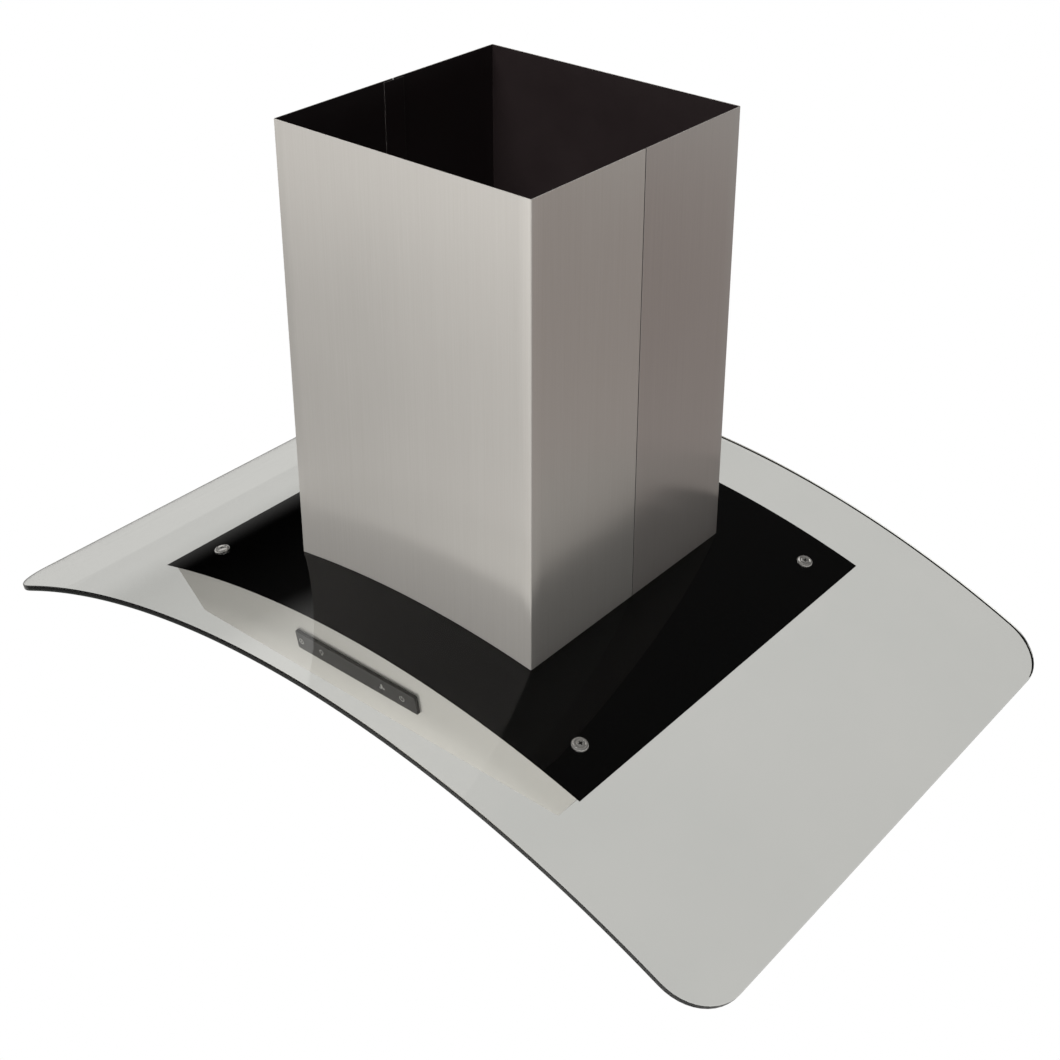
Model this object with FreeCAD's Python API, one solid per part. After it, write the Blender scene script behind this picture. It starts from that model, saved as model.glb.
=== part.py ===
import FreeCAD, Part
import math
import os
from FreeCAD import Placement, Rotation, Vector

# Island range hood: an arched glass canopy on a tapered steel body, with the blower above it in a chimney.
# Units are millimetres. +Z is up, the controls face -Y, and the origin is the centre of the four holes
# by which the head frame hangs from the ceiling frame, on the head frame's upper face.

os.makedirs("parts", exist_ok=True)

# ---- driving dimensions -------------------------------------------------------------------------
CROWN_Z = -261.0          # top of the glass arch, below the hanging holes
GAP = 0.2                 # fitting gap between curved layers and between bodies that meet
SHEET = 1.0               # body and casing sheet steel
SKIN = 0.8                # chimney and filter sheet steel

GLASS_WIDTH = 900.0
GLASS_DEPTH = 600.0
GLASS_THICKNESS = 6.0
GLASS_RADIUS = 997.0      # upper surface of the arch
GLASS_CORNER = 48.0
GLASS_CUTOUT = (276.0, 272.0)
GLASS_HOLE_RADIUS = 5.1

PRINT_WIDTH = 532.0       # black enamel under the glass
PRINT_DEPTH = 449.0
PRINT_THICKNESS = 0.3
GASKET_THICKNESS = 1.5
GASKET_WIDTH = 18.0

BODY_HEIGHT = 88.0        # crown of the glass to the flat bottom
BODY_BOTTOM_HALF = (231.8, 210.3)
BODY_CROWN_HALF = (290.7, 224.5)
DECK_OPENING = (236.0, 232.0)
DECK_THICKNESS = 1.2

CANOPY_SCREW = (232.0, 181.0)
CUP_RADIUS = 8.0
CUP_HEIGHT = 2.6
SCREW_HEAD_RADIUS = 4.2
SCREW_RADIUS = 2.4

CONTROL_WIDTH = 156.5
CONTROL_HEIGHT = 21.7
CONTROL_THICKNESS = 3.0
CONTROL_X = -3.0
CONTROL_DROP = 46.0       # crown to the middle of the control strip
CONTROL_CORNER = 2.0

CHIMNEY_WIDTH = 296.3
CHIMNEY_DEPTH = 292.6
CHIMNEY_TOP = 442.9       # above the crown
CHIMNEY_FOLD = 1.2        # outer radius of a folded corner
SEAM_Y = 4.0
SEAM_GAP = 0.4
STRAP_TOP = 340.0

UPPER_WIDTH = 290.0
UPPER_DEPTH = 286.6
UPPER_BOTTOM = 4.0
UPPER_TOP = 280.0

CASING_HALF = (132.3, 130.3)
CASING_TOP = 234.0
POST_HALF = (134.0, 132.0)
POST_LEG = 25.0
POST_THICKNESS = 1.5
HEAD_THICKNESS = 3.0
HEAD_OPENING = 180.0
HANG_SPACING = (224.0, 220.0)
HANG_HOLE_RADIUS = 4.5

COLLAR_RADIUS = 75.0
COLLAR_TOP = 300.0
COLLAR_FLANGE_RADIUS = 86.0
FLAP_RADIUS = 71.5
FLAP_THICKNESS = 0.8
FLAP_HEIGHT = 262.0
FLAP_PIN_X = 4.0
FLAP_PIN_RADIUS = 1.5
FLAP_KNUCKLE_RADIUS = 3.0
RUNNING_GAP = 0.05        # radial, a pin or shaft that turns

GLAND_PLACE = (70.0, 84.0)      # clear of the scroll, inside the head frame's opening
GLAND_THREAD_RADIUS = 7.0
GLAND_BORE_RADIUS = 4.0

FAN_CENTRE = (-35.0, 105.0)   # x, and height above the crown
WHEEL_RADIUS = 75.0
WHEEL_HALF_WIDTH = 62.0
BLADE_COUNT = 32
SCROLL_HALF_WIDTH = 70.0
SCROLL_WALL = 1.5
SCROLL_START_RADIUS = 82.0
SCROLL_END_RADIUS = 110.0
SCROLL_THROAT = 75.0
INLET_RADIUS = 56.0
SHAFT_RADIUS = 4.0
MOTOR_RADIUS = 42.0

FILTER_INNER_X = 5.5
FILTER_WIDTH = 175.0
FILTER_HALF_LENGTH = 148.0
FILTER_HEIGHT = 9.8
FILTER_LIFT = 0.5         # filter underside above the body's bottom
HOOK_BOTTOM = 1.2         # above the filter's underside, where the filter turns
HOOK_THICKNESS = 1.2
HOOK_BEAD_RADIUS = 0.65
FILTER_SIDE_BAR = 12.0
FILTER_FRONT_BAR = 24.0
BAFFLE_WIDTH = 16.0
BAFFLE_FLANGE = 5.0
BAFFLE_PITCH = 24.0
LOWER_BAFFLES = 6

LAMP_X = 170.0
LAMP_Y = 180.0
LAMP_HOLE_RADIUS = 22.0
LAMP_FLANGE_RADIUS = 25.0
LENS_RADIUS = 19.0

# ---- values worked out from them ----------------------------------------------------------------
ARC_Z = CROWN_Z - GLASS_RADIUS
BODY_BOTTOM_Z = CROWN_Z - BODY_HEIGHT
PRINT_DEPTH_TOP = GLASS_THICKNESS + GAP
PANEL_DEPTH_TOP = PRINT_DEPTH_TOP + PRINT_THICKNESS + GAP
DECK_DEPTH_TOP = PANEL_DEPTH_TOP + GASKET_THICKNESS + GAP
FRONT_LEAN = math.degrees(math.atan2(BODY_CROWN_HALF[1] - BODY_BOTTOM_HALF[1], BODY_HEIGHT))
TIP_ANGLE = math.degrees(math.asin(0.5 * GLASS_WIDTH / GLASS_RADIUS))
FILTER_BOTTOM_Z = BODY_BOTTOM_Z + FILTER_LIFT
SIDES = {"left": -1, "right": 1}
ENDS = {"front": -1, "back": 1}
X_AXIS = Vector(1, 0, 0)
Y_AXIS = Vector(0, 1, 0)
Z_AXIS = Vector(0, 0, 1)
FAR = 700.0


# ---- shared shapes ------------------------------------------------------------------------------
def save(name, shape):
    """Writes one piece, or one group of like pieces, to its own file."""
    shape.exportStep(os.path.join("parts", name + ".step"))


def block(x0, x1, y0, y1, z0, z1):
    """A box between two corners."""
    return Part.makeBox(x1 - x0, y1 - y0, z1 - z0, Vector(x0, y0, z0))


def centred_block(half_x, half_y, z0, z1):
    """A box centred on the Z axis."""
    return block(-half_x, half_x, -half_y, half_y, z0, z1)


def disc(radius, x, y, z0, z1):
    """An upright cylinder."""
    return Part.makeCylinder(radius, z1 - z0, Vector(x, y, z0), Z_AXIS)


def rod_along_y(radius, x, z, y0, y1):
    """A cylinder lying along Y."""
    return Part.makeCylinder(radius, y1 - y0, Vector(x, y0, z), Y_AXIS)


def rod_along_x(radius, y, z, x0, x1):
    """A cylinder lying along X."""
    return Part.makeCylinder(radius, x1 - x0, Vector(x0, y, z), X_AXIS)


def rounded_block(width, depth, corner, z0, z1):
    """A box with rounded upright edges, centred on the Z axis."""
    solid = centred_block(0.5 * width, 0.5 * depth, z0, z1)
    upright = [e for e in solid.Edges if abs(e.tangentAt(e.FirstParameter).z) > 0.9]
    return solid.makeFillet(corner, upright)


def square_tube(width, depth, wall, fold, z0, z1):
    """Folded sheet round a rectangle, open at both ends."""
    outer = rounded_block(width, depth, fold, z0, z1)
    inner = rounded_block(width - 2 * wall, depth - 2 * wall, fold - wall, z0 - 1, z1 + 1)
    return outer.cut(inner)


def both_sides(shape):
    """The shape and its mirror image across the plane x = 0."""
    return [shape, shape.mirror(Vector(0, 0, 0), X_AXIS)]


def mirrored_for(shape, side):
    """A shape made for the right side, as it is on the named side."""
    return shape if SIDES[side] > 0 else shape.mirror(Vector(0, 0, 0), X_AXIS)


def under_arch(depth):
    """Everything below a surface that lies this deep under the top of the glass."""
    return rod_along_y(GLASS_RADIUS - depth, 0, ARC_Z, -FAR, FAR)


def arched_layer(depth_top, thickness, half_x, half_y):
    """A layer that follows the arch, cut square in plan."""
    ring = under_arch(depth_top).cut(under_arch(depth_top + thickness))
    return ring.common(centred_block(half_x, half_y, CROWN_Z - 200, CROWN_Z + 10))


def turned_on_arch(shape, angle):
    """Turns a shape made at the crown to its place round the arch, angle in degrees towards +X."""
    turned = shape.copy()
    turned.rotate(Vector(0, 0, ARC_Z), Y_AXIS, angle)
    return turned


def at_canopy_screws(shape):
    """Copies a shape, made with its seat at the origin, to the four screws of the canopy."""
    angle = math.degrees(math.asin(CANOPY_SCREW[0] / GLASS_RADIUS))
    copies = []
    for x_sign in SIDES.values():
        for y_sign in ENDS.values():
            placed = shape.copy()
            placed.translate(Vector(0, y_sign * CANOPY_SCREW[1], CROWN_Z))
            copies.append(turned_on_arch(placed, x_sign * angle))
    return copies


def frustum(inset_x, inset_y, z0, z1):
    """The body's outer form between two heights, drawn in by an inset on each side."""
    wires = []
    for z in (z0, z1):
        share = (z - BODY_BOTTOM_Z) / BODY_HEIGHT
        half_x = BODY_BOTTOM_HALF[0] + share * (BODY_CROWN_HALF[0] - BODY_BOTTOM_HALF[0]) - inset_x
        half_y = BODY_BOTTOM_HALF[1] + share * (BODY_CROWN_HALF[1] - BODY_BOTTOM_HALF[1]) - inset_y
        corners = [(-half_x, -half_y), (half_x, -half_y), (half_x, half_y), (-half_x, half_y)]
        wires.append(Part.makePolygon([Vector(x, y, z) for x, y in corners + corners[:1]]))
    return Part.makeLoft(wires, True, True)


def on_front_panel(shape):
    """Sets a shape, made facing -Y about the origin, on the middle of the control strip."""
    share = (BODY_HEIGHT - CONTROL_DROP) / BODY_HEIGHT
    surface_y = BODY_BOTTOM_HALF[1] + share * (BODY_CROWN_HALF[1] - BODY_BOTTOM_HALF[1])
    place = Vector(CONTROL_X, -surface_y, CROWN_Z - CONTROL_DROP)
    set_shape = shape.copy()
    set_shape.Placement = Placement(place, Rotation(X_AXIS, FRONT_LEAN)).multiply(shape.Placement)
    return set_shape


# ---- glass canopy -------------------------------------------------------------------------------
def corner_notch(x_sign, y_sign):
    """What is ground off one corner of the glass."""
    reach = GLASS_CORNER + 2
    square = block(0, reach, 0, reach, -GLASS_THICKNESS - 4, 4)
    notch = square.cut(disc(GLASS_CORNER, 0, 0, -GLASS_THICKNESS - 5, 5))
    if x_sign < 0:
        notch = notch.mirror(Vector(0, 0, 0), X_AXIS)
    if y_sign < 0:
        notch = notch.mirror(Vector(0, 0, 0), Y_AXIS)
    notch.translate(Vector(0, y_sign * (0.5 * GLASS_DEPTH - GLASS_CORNER), CROWN_Z))
    angle = TIP_ANGLE - math.degrees(GLASS_CORNER / GLASS_RADIUS)
    return turned_on_arch(notch, x_sign * angle)


def arch_sector():
    """The glass before its corners and holes, with ends square to its surface."""
    ends = []
    for radius in (GLASS_RADIUS, GLASS_RADIUS - GLASS_THICKNESS):
        points = []
        for angle in (-TIP_ANGLE, 0, TIP_ANGLE):
            turn = math.radians(angle)
            height = ARC_Z + radius * math.cos(turn)
            points.append(Vector(radius * math.sin(turn), -0.5 * GLASS_DEPTH, height))
        ends.append(points)
    upper, lower = ends
    outline = Part.Wire([
        Part.Arc(*upper).toShape(),
        Part.LineSegment(upper[2], lower[2]).toShape(),
        Part.Arc(*reversed(lower)).toShape(),
        Part.LineSegment(lower[0], upper[0]).toShape(),
    ])
    return Part.Face(outline).extrude(Vector(0, GLASS_DEPTH, 0))


def make_glass():
    glass = arch_sector()
    notches = [corner_notch(x, y) for x in SIDES.values() for y in ENDS.values()]
    cutout = centred_block(0.5 * GLASS_CUTOUT[0], 0.5 * GLASS_CUTOUT[1], CROWN_Z - 60, CROWN_Z + 10)
    holes = at_canopy_screws(disc(GLASS_HOLE_RADIUS, 0, 0, -GLASS_THICKNESS - 4, 4))
    save("glass_canopy", glass.cut(notches + [cutout] + holes))


def make_print():
    layer = arched_layer(PRINT_DEPTH_TOP, PRINT_THICKNESS, 0.5 * PRINT_WIDTH, 0.5 * PRINT_DEPTH)
    cutout = centred_block(0.5 * GLASS_CUTOUT[0], 0.5 * GLASS_CUTOUT[1], CROWN_Z - 60, CROWN_Z + 10)
    holes = at_canopy_screws(disc(GLASS_HOLE_RADIUS, 0, 0, -12, 0))
    save("black_glass_print", layer.cut([cutout] + holes))


def make_gasket():
    layer = arched_layer(PANEL_DEPTH_TOP, GASKET_THICKNESS, FAR, FAR)
    inset = SHEET + GAP
    body = frustum(inset, inset, BODY_BOTTOM_Z, CROWN_Z)
    hollow = frustum(inset + GASKET_WIDTH, inset + GASKET_WIDTH, BODY_BOTTOM_Z, CROWN_Z)
    rim = layer.common(body).cut(hollow)
    half_x = 0.5 * GLASS_CUTOUT[0]
    half_y = 0.5 * GLASS_CUTOUT[1]
    ring = layer.common(centred_block(half_x + GASKET_WIDTH, half_y + GASKET_WIDTH, CROWN_Z - 60, CROWN_Z))
    ring = ring.cut(centred_block(half_x, half_y, CROWN_Z - 60, CROWN_Z + 10))
    save("canopy_gasket", Part.makeCompound([rim, ring]))


def canopy_screw():
    """One countersunk screw with a cross recess, its seat at the origin."""
    head = Part.makeCone(SCREW_RADIUS, SCREW_HEAD_RADIUS, CUP_HEIGHT - 0.4, Vector(0, 0, 0.4))
    shank = disc(SCREW_RADIUS, 0, 0, -DECK_DEPTH_TOP - DECK_THICKNESS - 4, 0.4)
    screw = head.fuse(shank).removeSplitter()
    arms = centred_block(2.4, 0.55, CUP_HEIGHT - 1.6, CUP_HEIGHT + 1)
    cross = arms.fuse(centred_block(0.55, 2.4, CUP_HEIGHT - 1.6, CUP_HEIGHT + 1))
    return screw.cut(cross)


def make_canopy_fasteners():
    seat = Part.makeCone(SCREW_RADIUS, SCREW_HEAD_RADIUS, CUP_HEIGHT - 0.4, Vector(0, 0, 0.4))
    cup = Part.makeCone(CUP_RADIUS, SCREW_HEAD_RADIUS + 0.6, CUP_HEIGHT - 0.1, Vector(0, 0, 0.1))
    cup = cup.cut(seat).cut(disc(SCREW_RADIUS, 0, 0, 0, CUP_HEIGHT))
    bush = disc(GLASS_HOLE_RADIUS - 0.1, 0, 0, -GLASS_THICKNESS, 0)
    bush = bush.cut(disc(SCREW_RADIUS, 0, 0, -GLASS_THICKNESS - 1, 1))
    save("canopy_cup_washers", Part.makeCompound(at_canopy_screws(cup)))
    save("canopy_screws", Part.makeCompound(at_canopy_screws(canopy_screw())))
    save("glass_bushes", Part.makeCompound(at_canopy_screws(bush)))


# ---- steel body ---------------------------------------------------------------------------------
def control_prism(width, height, y0, y1):
    """A rounded strip facing -Y about the origin."""
    strip = rounded_block(width, height, CONTROL_CORNER, y0, y1)
    strip.rotate(Vector(0, 0, 0), X_AXIS, -90)
    return strip


def make_body_panels():
    top = CROWN_Z + 1
    whole = frustum(0, 0, BODY_BOTTOM_Z, top).common(under_arch(PANEL_DEPTH_TOP))
    between = frustum(-30, SHEET, BODY_BOTTOM_Z, top)
    inner = frustum(SHEET, -30, BODY_BOTTOM_Z, top)
    faces = whole.cut(between)
    slot = on_front_panel(control_prism(CONTROL_WIDTH + GAP, CONTROL_HEIGHT + GAP, -5, 10))
    front = faces.common(block(-FAR, FAR, -FAR, 0, BODY_BOTTOM_Z - 1, top))
    back = faces.common(block(-FAR, FAR, 0, FAR, BODY_BOTTOM_Z - 1, top))
    save("front_panel", front.cut(slot))
    save("back_panel", back)
    side_walls = whole.common(between).cut(inner)
    for side, sign in SIDES.items():
        reach = sorted((0, sign * FAR))
        wall = side_walls.common(block(*reach, -FAR, FAR, BODY_BOTTOM_Z - 1, top))
        save(side + "_panel", wall)


def make_deck():
    layer = arched_layer(DECK_DEPTH_TOP, DECK_THICKNESS, FAR, FAR)
    inset = SHEET + 0.5 * GAP
    deck = layer.common(frustum(inset, inset, BODY_BOTTOM_Z, CROWN_Z))
    opening = centred_block(0.5 * DECK_OPENING[0], 0.5 * DECK_OPENING[1], CROWN_Z - 60, CROWN_Z)
    holes = at_canopy_screws(disc(SCREW_RADIUS, 0, 0, -20, 0))
    save("top_deck", deck.cut([opening] + holes))


def make_bottom_panel():
    inset = SHEET + 0.5 * GAP
    lip_top = BODY_BOTTOM_Z + 13
    tray = frustum(inset, inset, BODY_BOTTOM_Z, lip_top)
    tray = tray.cut(frustum(inset + SHEET, inset + SHEET, BODY_BOTTOM_Z, lip_top + 1).common(
        centred_block(FAR, FAR, BODY_BOTTOM_Z + SHEET, lip_top + 1)))
    opening = block(FILTER_INNER_X - 1.5, FILTER_INNER_X + FILTER_WIDTH + 1.5, -150, 150,
                    BODY_BOTTOM_Z - 1, lip_top)
    lamps = [disc(LAMP_HOLE_RADIUS, x * LAMP_X, y * LAMP_Y, BODY_BOTTOM_Z - 1, lip_top)
             for x in SIDES.values() for y in ENDS.values()]
    save("bottom_panel", tray.cut(both_sides(opening) + lamps))


def make_controls():
    fascia = control_prism(CONTROL_WIDTH, CONTROL_HEIGHT, 0, CONTROL_THICKNESS)
    save("control_fascia", on_front_panel(fascia))
    board = block(-74, 74, 4.2, 5.8, -9, 9)
    chips = [block(x - 4, x + 4, 5.8, 8.0, -4, 4) for x in (-56, -20, 20, 56)]
    plug = block(60, 72, 5.8, 12, -7, 7)
    save("control_board", on_front_panel(board.fuse(chips + [plug])))
    base = BODY_BOTTOM_Z + SHEET
    module = block(-55, 55, -196, -160, base, base + 24)
    fins = [block(x, x + 3, -194, -162, base + 20, base + 25) for x in range(-48, 48, 8)]
    save("power_module", module.cut(fins))


def make_lamps():
    bottom = BODY_BOTTOM_Z
    for x_name, x_sign in SIDES.items():
        for y_name, y_sign in ENDS.items():
            x = x_sign * LAMP_X
            y = y_sign * LAMP_Y
            can = disc(LAMP_FLANGE_RADIUS, x, y, bottom - 1.4, bottom)
            can = can.fuse(disc(LAMP_HOLE_RADIUS - 0.2, x, y, bottom, bottom + 14))
            can = can.cut(disc(LENS_RADIUS + 0.1, x, y, bottom - 2, bottom + 12.5))
            lens = disc(LENS_RADIUS, x, y, bottom - 1.1, bottom + 1.2)
            place = "_" + y_name + "_" + x_name
            save("lamp_can" + place, can.removeSplitter())
            save("lamp_lens" + place, lens)


# ---- grease filters -----------------------------------------------------------------------------
def filter_middle_x():
    """The middle of the right-hand filter."""
    return FILTER_INNER_X + 0.5 * FILTER_WIDTH


def filter_frame():
    """Folded channel round the right-hand filter, open towards the baffles, with hooks at the back."""
    x0 = FILTER_INNER_X
    x1 = FILTER_INNER_X + FILTER_WIDTH
    y = FILTER_HALF_LENGTH
    z0 = FILTER_BOTTOM_Z
    z1 = FILTER_BOTTOM_Z + FILTER_HEIGHT
    rim = block(x0, x1, -y, y, z0, z1)
    window = block(x0 + FILTER_SIDE_BAR, x1 - FILTER_SIDE_BAR, FILTER_FRONT_BAR - y, y - FILTER_SIDE_BAR,
                   z0 - 1, z1 + 1)
    hollow = block(x0 + SKIN, x1 - SKIN, SKIN - y, y - SKIN, z0 + SKIN, z1 - SKIN)
    middle = filter_middle_x()
    tongue_slot = block(middle - 16, middle + 16, -y - 1, SKIN + 1 - y, z0 + 1.2, z0 + 3.6)
    thumb_slot = block(middle - 9, middle + 9, -142, -129, z0 - 1, z0 + SKIN + 1)
    frame = rim.cut([window, hollow, tongue_slot, thumb_slot])
    hook_z = z0 + HOOK_BOTTOM
    hooks = [block(middle + dx - 8, middle + dx + 8, y - SKIN, y + 6, hook_z, hook_z + HOOK_THICKNESS)
             for dx in (-55, 55)]
    beads = [rod_along_x(HOOK_BEAD_RADIUS, y, hook_z, middle + dx - 8, middle + dx + 8) for dx in (-55, 55)]
    return frame.fuse(hooks + beads).removeSplitter()


def baffle(middle, opens_up):
    """One folded channel of the filter, lying along Y."""
    z0 = FILTER_BOTTOM_Z + SKIN + 0.1
    z1 = FILTER_BOTTOM_Z + FILTER_HEIGHT - SKIN - 0.1
    low, high = (z0, z0 + BAFFLE_FLANGE) if opens_up else (z1 - BAFFLE_FLANGE, z1)
    half = 0.5 * BAFFLE_WIDTH
    y0 = FILTER_FRONT_BAR - FILTER_HALF_LENGTH - 1
    y1 = FILTER_HALF_LENGTH - FILTER_SIDE_BAR + 6
    bar = block(middle - half, middle + half, y0, y1, low, high)
    gap_low, gap_high = (low + SKIN, high + 1) if opens_up else (low - 1, high - SKIN)
    return bar.cut(block(middle - half + SKIN, middle + half - SKIN, y0 - 1, y1 + 1, gap_low, gap_high))


def filter_baffles():
    """Two rows of channels, each row covering the gaps of the other."""
    first = filter_middle_x() - 0.5 * (LOWER_BAFFLES - 1) * BAFFLE_PITCH
    lower = [baffle(first + i * BAFFLE_PITCH, True) for i in range(LOWER_BAFFLES)]
    upper = [baffle(first + (i - 0.5) * BAFFLE_PITCH, False) for i in range(LOWER_BAFFLES + 1)]
    return Part.makeCompound(lower + upper)


def filter_handle():
    """A flat bow handle under the filter's front bar."""
    middle = filter_middle_x()
    z1 = FILTER_BOTTOM_Z
    outer = block(middle - 42, middle + 42, -132.5, -126.5, z1 - 16, z1)
    bow_edges = [e for e in outer.Edges
                 if abs(e.tangentAt(e.FirstParameter).y) > 0.9 and e.CenterOfMass.z < z1 - 8]
    outer = outer.makeFillet(7, bow_edges)
    inner = block(middle - 39.5, middle + 39.5, -133, -126, z1 - 13.5, z1 + 1)
    inner_edges = [e for e in inner.Edges
                   if abs(e.tangentAt(e.FirstParameter).y) > 0.9 and e.CenterOfMass.z < z1 - 8]
    bow = outer.cut(inner.makeFillet(4.5, inner_edges))
    feet = [block(middle + s * 35 - 7, middle + s * 35 + 7, -132.5, -126.5, z1 - 1.2, z1)
            for s in SIDES.values()]
    return bow.fuse(feet).removeSplitter()


def filter_latch():
    """A sprung tongue in the front bar, with a thumb tab below it."""
    middle = filter_middle_x()
    z0 = FILTER_BOTTOM_Z + 1.6
    tongue = block(middle - 15, middle + 15, -149.5, -132, z0, z0 + 1.6)
    tab = block(middle - 8, middle + 8, -141, -138, FILTER_BOTTOM_Z - 9, z0)
    return tongue.fuse(tab).removeSplitter()


def make_filters():
    pieces = {
        "filter_frame": filter_frame(),
        "filter_baffles": filter_baffles(),
        "filter_handle": filter_handle(),
        "filter_latch": filter_latch(),
    }
    for side in SIDES:
        for name, shape in pieces.items():
            save(name + "_" + side, mirrored_for(shape, side))


# ---- chimney ------------------------------------------------------------------------------------
def seam_straps(half_width, z0, z1):
    """Flat bars behind the two seams, joining the front and back shells."""
    strap = block(half_width - SKIN - 0.1 - SHEET, half_width - SKIN - 0.1, SEAM_Y - 14, SEAM_Y + 14, z0, z1)
    return Part.makeCompound(both_sides(strap))


def make_chimney_pair(prefix, width, depth, z0, z1, foot):
    """Front and back shells that meet half way along the sides."""
    tube = square_tube(width, depth, SKIN, CHIMNEY_FOLD, z0, z1).cut(foot)
    front = block(-FAR, FAR, -FAR, SEAM_Y - 0.5 * SEAM_GAP, z0 - 1, z1 + 1)
    back = block(-FAR, FAR, SEAM_Y + 0.5 * SEAM_GAP, FAR, z0 - 1, z1 + 1)
    save(prefix + "_front", tube.common(front))
    save(prefix + "_back", tube.common(back))


def make_chimneys():
    foot = under_arch(-GAP)
    top = CROWN_Z + CHIMNEY_TOP
    make_chimney_pair("chimney", CHIMNEY_WIDTH, CHIMNEY_DEPTH, CROWN_Z - 30, top, foot)
    save("chimney_seam_straps", seam_straps(0.5 * CHIMNEY_WIDTH, CROWN_Z - 8, CROWN_Z + STRAP_TOP))
    low = CROWN_Z + UPPER_BOTTOM
    high = CROWN_Z + UPPER_TOP
    make_chimney_pair("upper_chimney", UPPER_WIDTH, UPPER_DEPTH, low, high, foot)
    save("upper_chimney_seam_straps", seam_straps(0.5 * UPPER_WIDTH, low + 4, high - 4))


# ---- hanging frame and blower casing ------------------------------------------------------------
def frame_bolts():
    """Bolts through the posts and the casing, heads outside."""
    bolts = []
    for y_sign in ENDS.values():
        for height in (40.0, 200.0):
            y = y_sign * (POST_HALF[1] - 14)
            head = rod_along_x(5, y, CROWN_Z + height, POST_HALF[0], POST_HALF[0] + 3.4)
            shank = rod_along_x(3, y, CROWN_Z + height, CASING_HALF[0] - 5, POST_HALF[0])
            bolts += both_sides(head.fuse(shank).removeSplitter())
    return Part.makeCompound(bolts)


def make_posts(bolts):
    for x_name, x_sign in SIDES.items():
        for y_name, y_sign in ENDS.items():
            outer = block(POST_HALF[0] - POST_LEG, POST_HALF[0], POST_HALF[1] - POST_LEG, POST_HALF[1],
                          CROWN_Z - 30, -HEAD_THICKNESS)
            inner = block(0, POST_HALF[0] - POST_THICKNESS, 0, POST_HALF[1] - POST_THICKNESS,
                          CROWN_Z - 31, 0)
            post = outer.cut(inner).cut(under_arch(DECK_DEPTH_TOP - GAP))
            if x_sign < 0:
                post = post.mirror(Vector(0, 0, 0), X_AXIS)
            if y_sign < 0:
                post = post.mirror(Vector(0, 0, 0), Y_AXIS)
            save("post_" + y_name + "_" + x_name, post.cut(bolts))


def make_head_frame():
    plate = centred_block(POST_HALF[0], POST_HALF[1], -HEAD_THICKNESS, 0)
    opening = rounded_block(HEAD_OPENING, HEAD_OPENING, 12, -HEAD_THICKNESS - 1, 1)
    holes = [disc(HANG_HOLE_RADIUS, x * 0.5 * HANG_SPACING[0], y * 0.5 * HANG_SPACING[1],
                  -HEAD_THICKNESS - 1, 1) for x in SIDES.values() for y in ENDS.values()]
    save("head_frame", plate.cut([opening] + holes))


def make_casing(bolts):
    z1 = CROWN_Z + CASING_TOP
    walls = square_tube(2 * CASING_HALF[0], 2 * CASING_HALF[1], SHEET, SHEET + 0.5, CROWN_Z - 30, z1)
    walls = walls.cut(under_arch(DECK_DEPTH_TOP - GAP)).cut(bolts)
    save("casing_walls", walls)
    lid = centred_block(CASING_HALF[0], CASING_HALF[1], z1, z1 + SHEET)
    bore = disc(GLAND_THREAD_RADIUS, GLAND_PLACE[0], GLAND_PLACE[1], z1 - 1, z1 + 2)
    lid = lid.cut([disc(COLLAR_RADIUS - SHEET, 0, 0, z1 - 1, z1 + 2), bore])
    save("casing_lid", lid)


def cable_gland():
    """A gland for the mains lead, with its nut under the lid."""
    x, y = GLAND_PLACE
    lid_z = CROWN_Z + CASING_TOP
    body = disc(GLAND_THREAD_RADIUS, x, y, lid_z - 6, lid_z + 10)
    nuts = [(11, lid_z - 5, lid_z), (11.5, lid_z + SHEET, lid_z + 6), (10, lid_z + 8, lid_z + 19)]
    for radius, z0, z1 in nuts:
        corners = [Vector(x + radius * math.cos(math.radians(60 * i)),
                          y + radius * math.sin(math.radians(60 * i)), z0) for i in range(7)]
        body = body.fuse(Part.Face(Part.makePolygon(corners)).extrude(Vector(0, 0, z1 - z0)))
    return body.cut(disc(GLAND_BORE_RADIUS, x, y, lid_z - 8, lid_z + 22)).removeSplitter()


def flap_pins():
    """The two pins on which the damper flaps swing."""
    pin = rod_along_y(FLAP_PIN_RADIUS, FLAP_PIN_X, CROWN_Z + FLAP_HEIGHT, GAP - COLLAR_RADIUS,
                      COLLAR_RADIUS - GAP)
    return Part.makeCompound(both_sides(pin))


def make_collar():
    low = CROWN_Z + CASING_TOP + SHEET
    ledge_top = CROWN_Z + FLAP_HEIGHT - 0.5 * FLAP_THICKNESS - 0.4
    collar = disc(COLLAR_RADIUS, 0, 0, low, CROWN_Z + COLLAR_TOP)
    collar = collar.fuse(disc(COLLAR_FLANGE_RADIUS, 0, 0, low, low + 1.2))
    collar = collar.cut(disc(COLLAR_RADIUS - SHEET, 0, 0, low - 1, CROWN_Z + COLLAR_TOP + 1))
    ledge = disc(COLLAR_RADIUS - SHEET, 0, 0, ledge_top - 1.2, ledge_top)
    ledge = ledge.cut(disc(COLLAR_RADIUS - 5, 0, 0, ledge_top - 2, ledge_top + 1))
    pins = flap_pins()
    save("duct_collar", collar.fuse(ledge).cut(pins).removeSplitter())
    save("damper_pins", pins)


def make_flaps():
    z = CROWN_Z + FLAP_HEIGHT
    plate = disc(FLAP_RADIUS, 0, 0, z - 0.5 * FLAP_THICKNESS, z + 0.5 * FLAP_THICKNESS)
    plate = plate.common(block(FLAP_PIN_X + 2.2, FAR, -FAR, FAR, z - 5, z + 5))
    knuckle = rod_along_y(FLAP_KNUCKLE_RADIUS, FLAP_PIN_X, z, -66, 66)
    flap = plate.fuse(knuckle).cut(rod_along_y(FLAP_PIN_RADIUS + RUNNING_GAP, FLAP_PIN_X, z, -80, 80))
    for side in SIDES:
        save("damper_flap_" + side, mirrored_for(flap, side))


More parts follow.
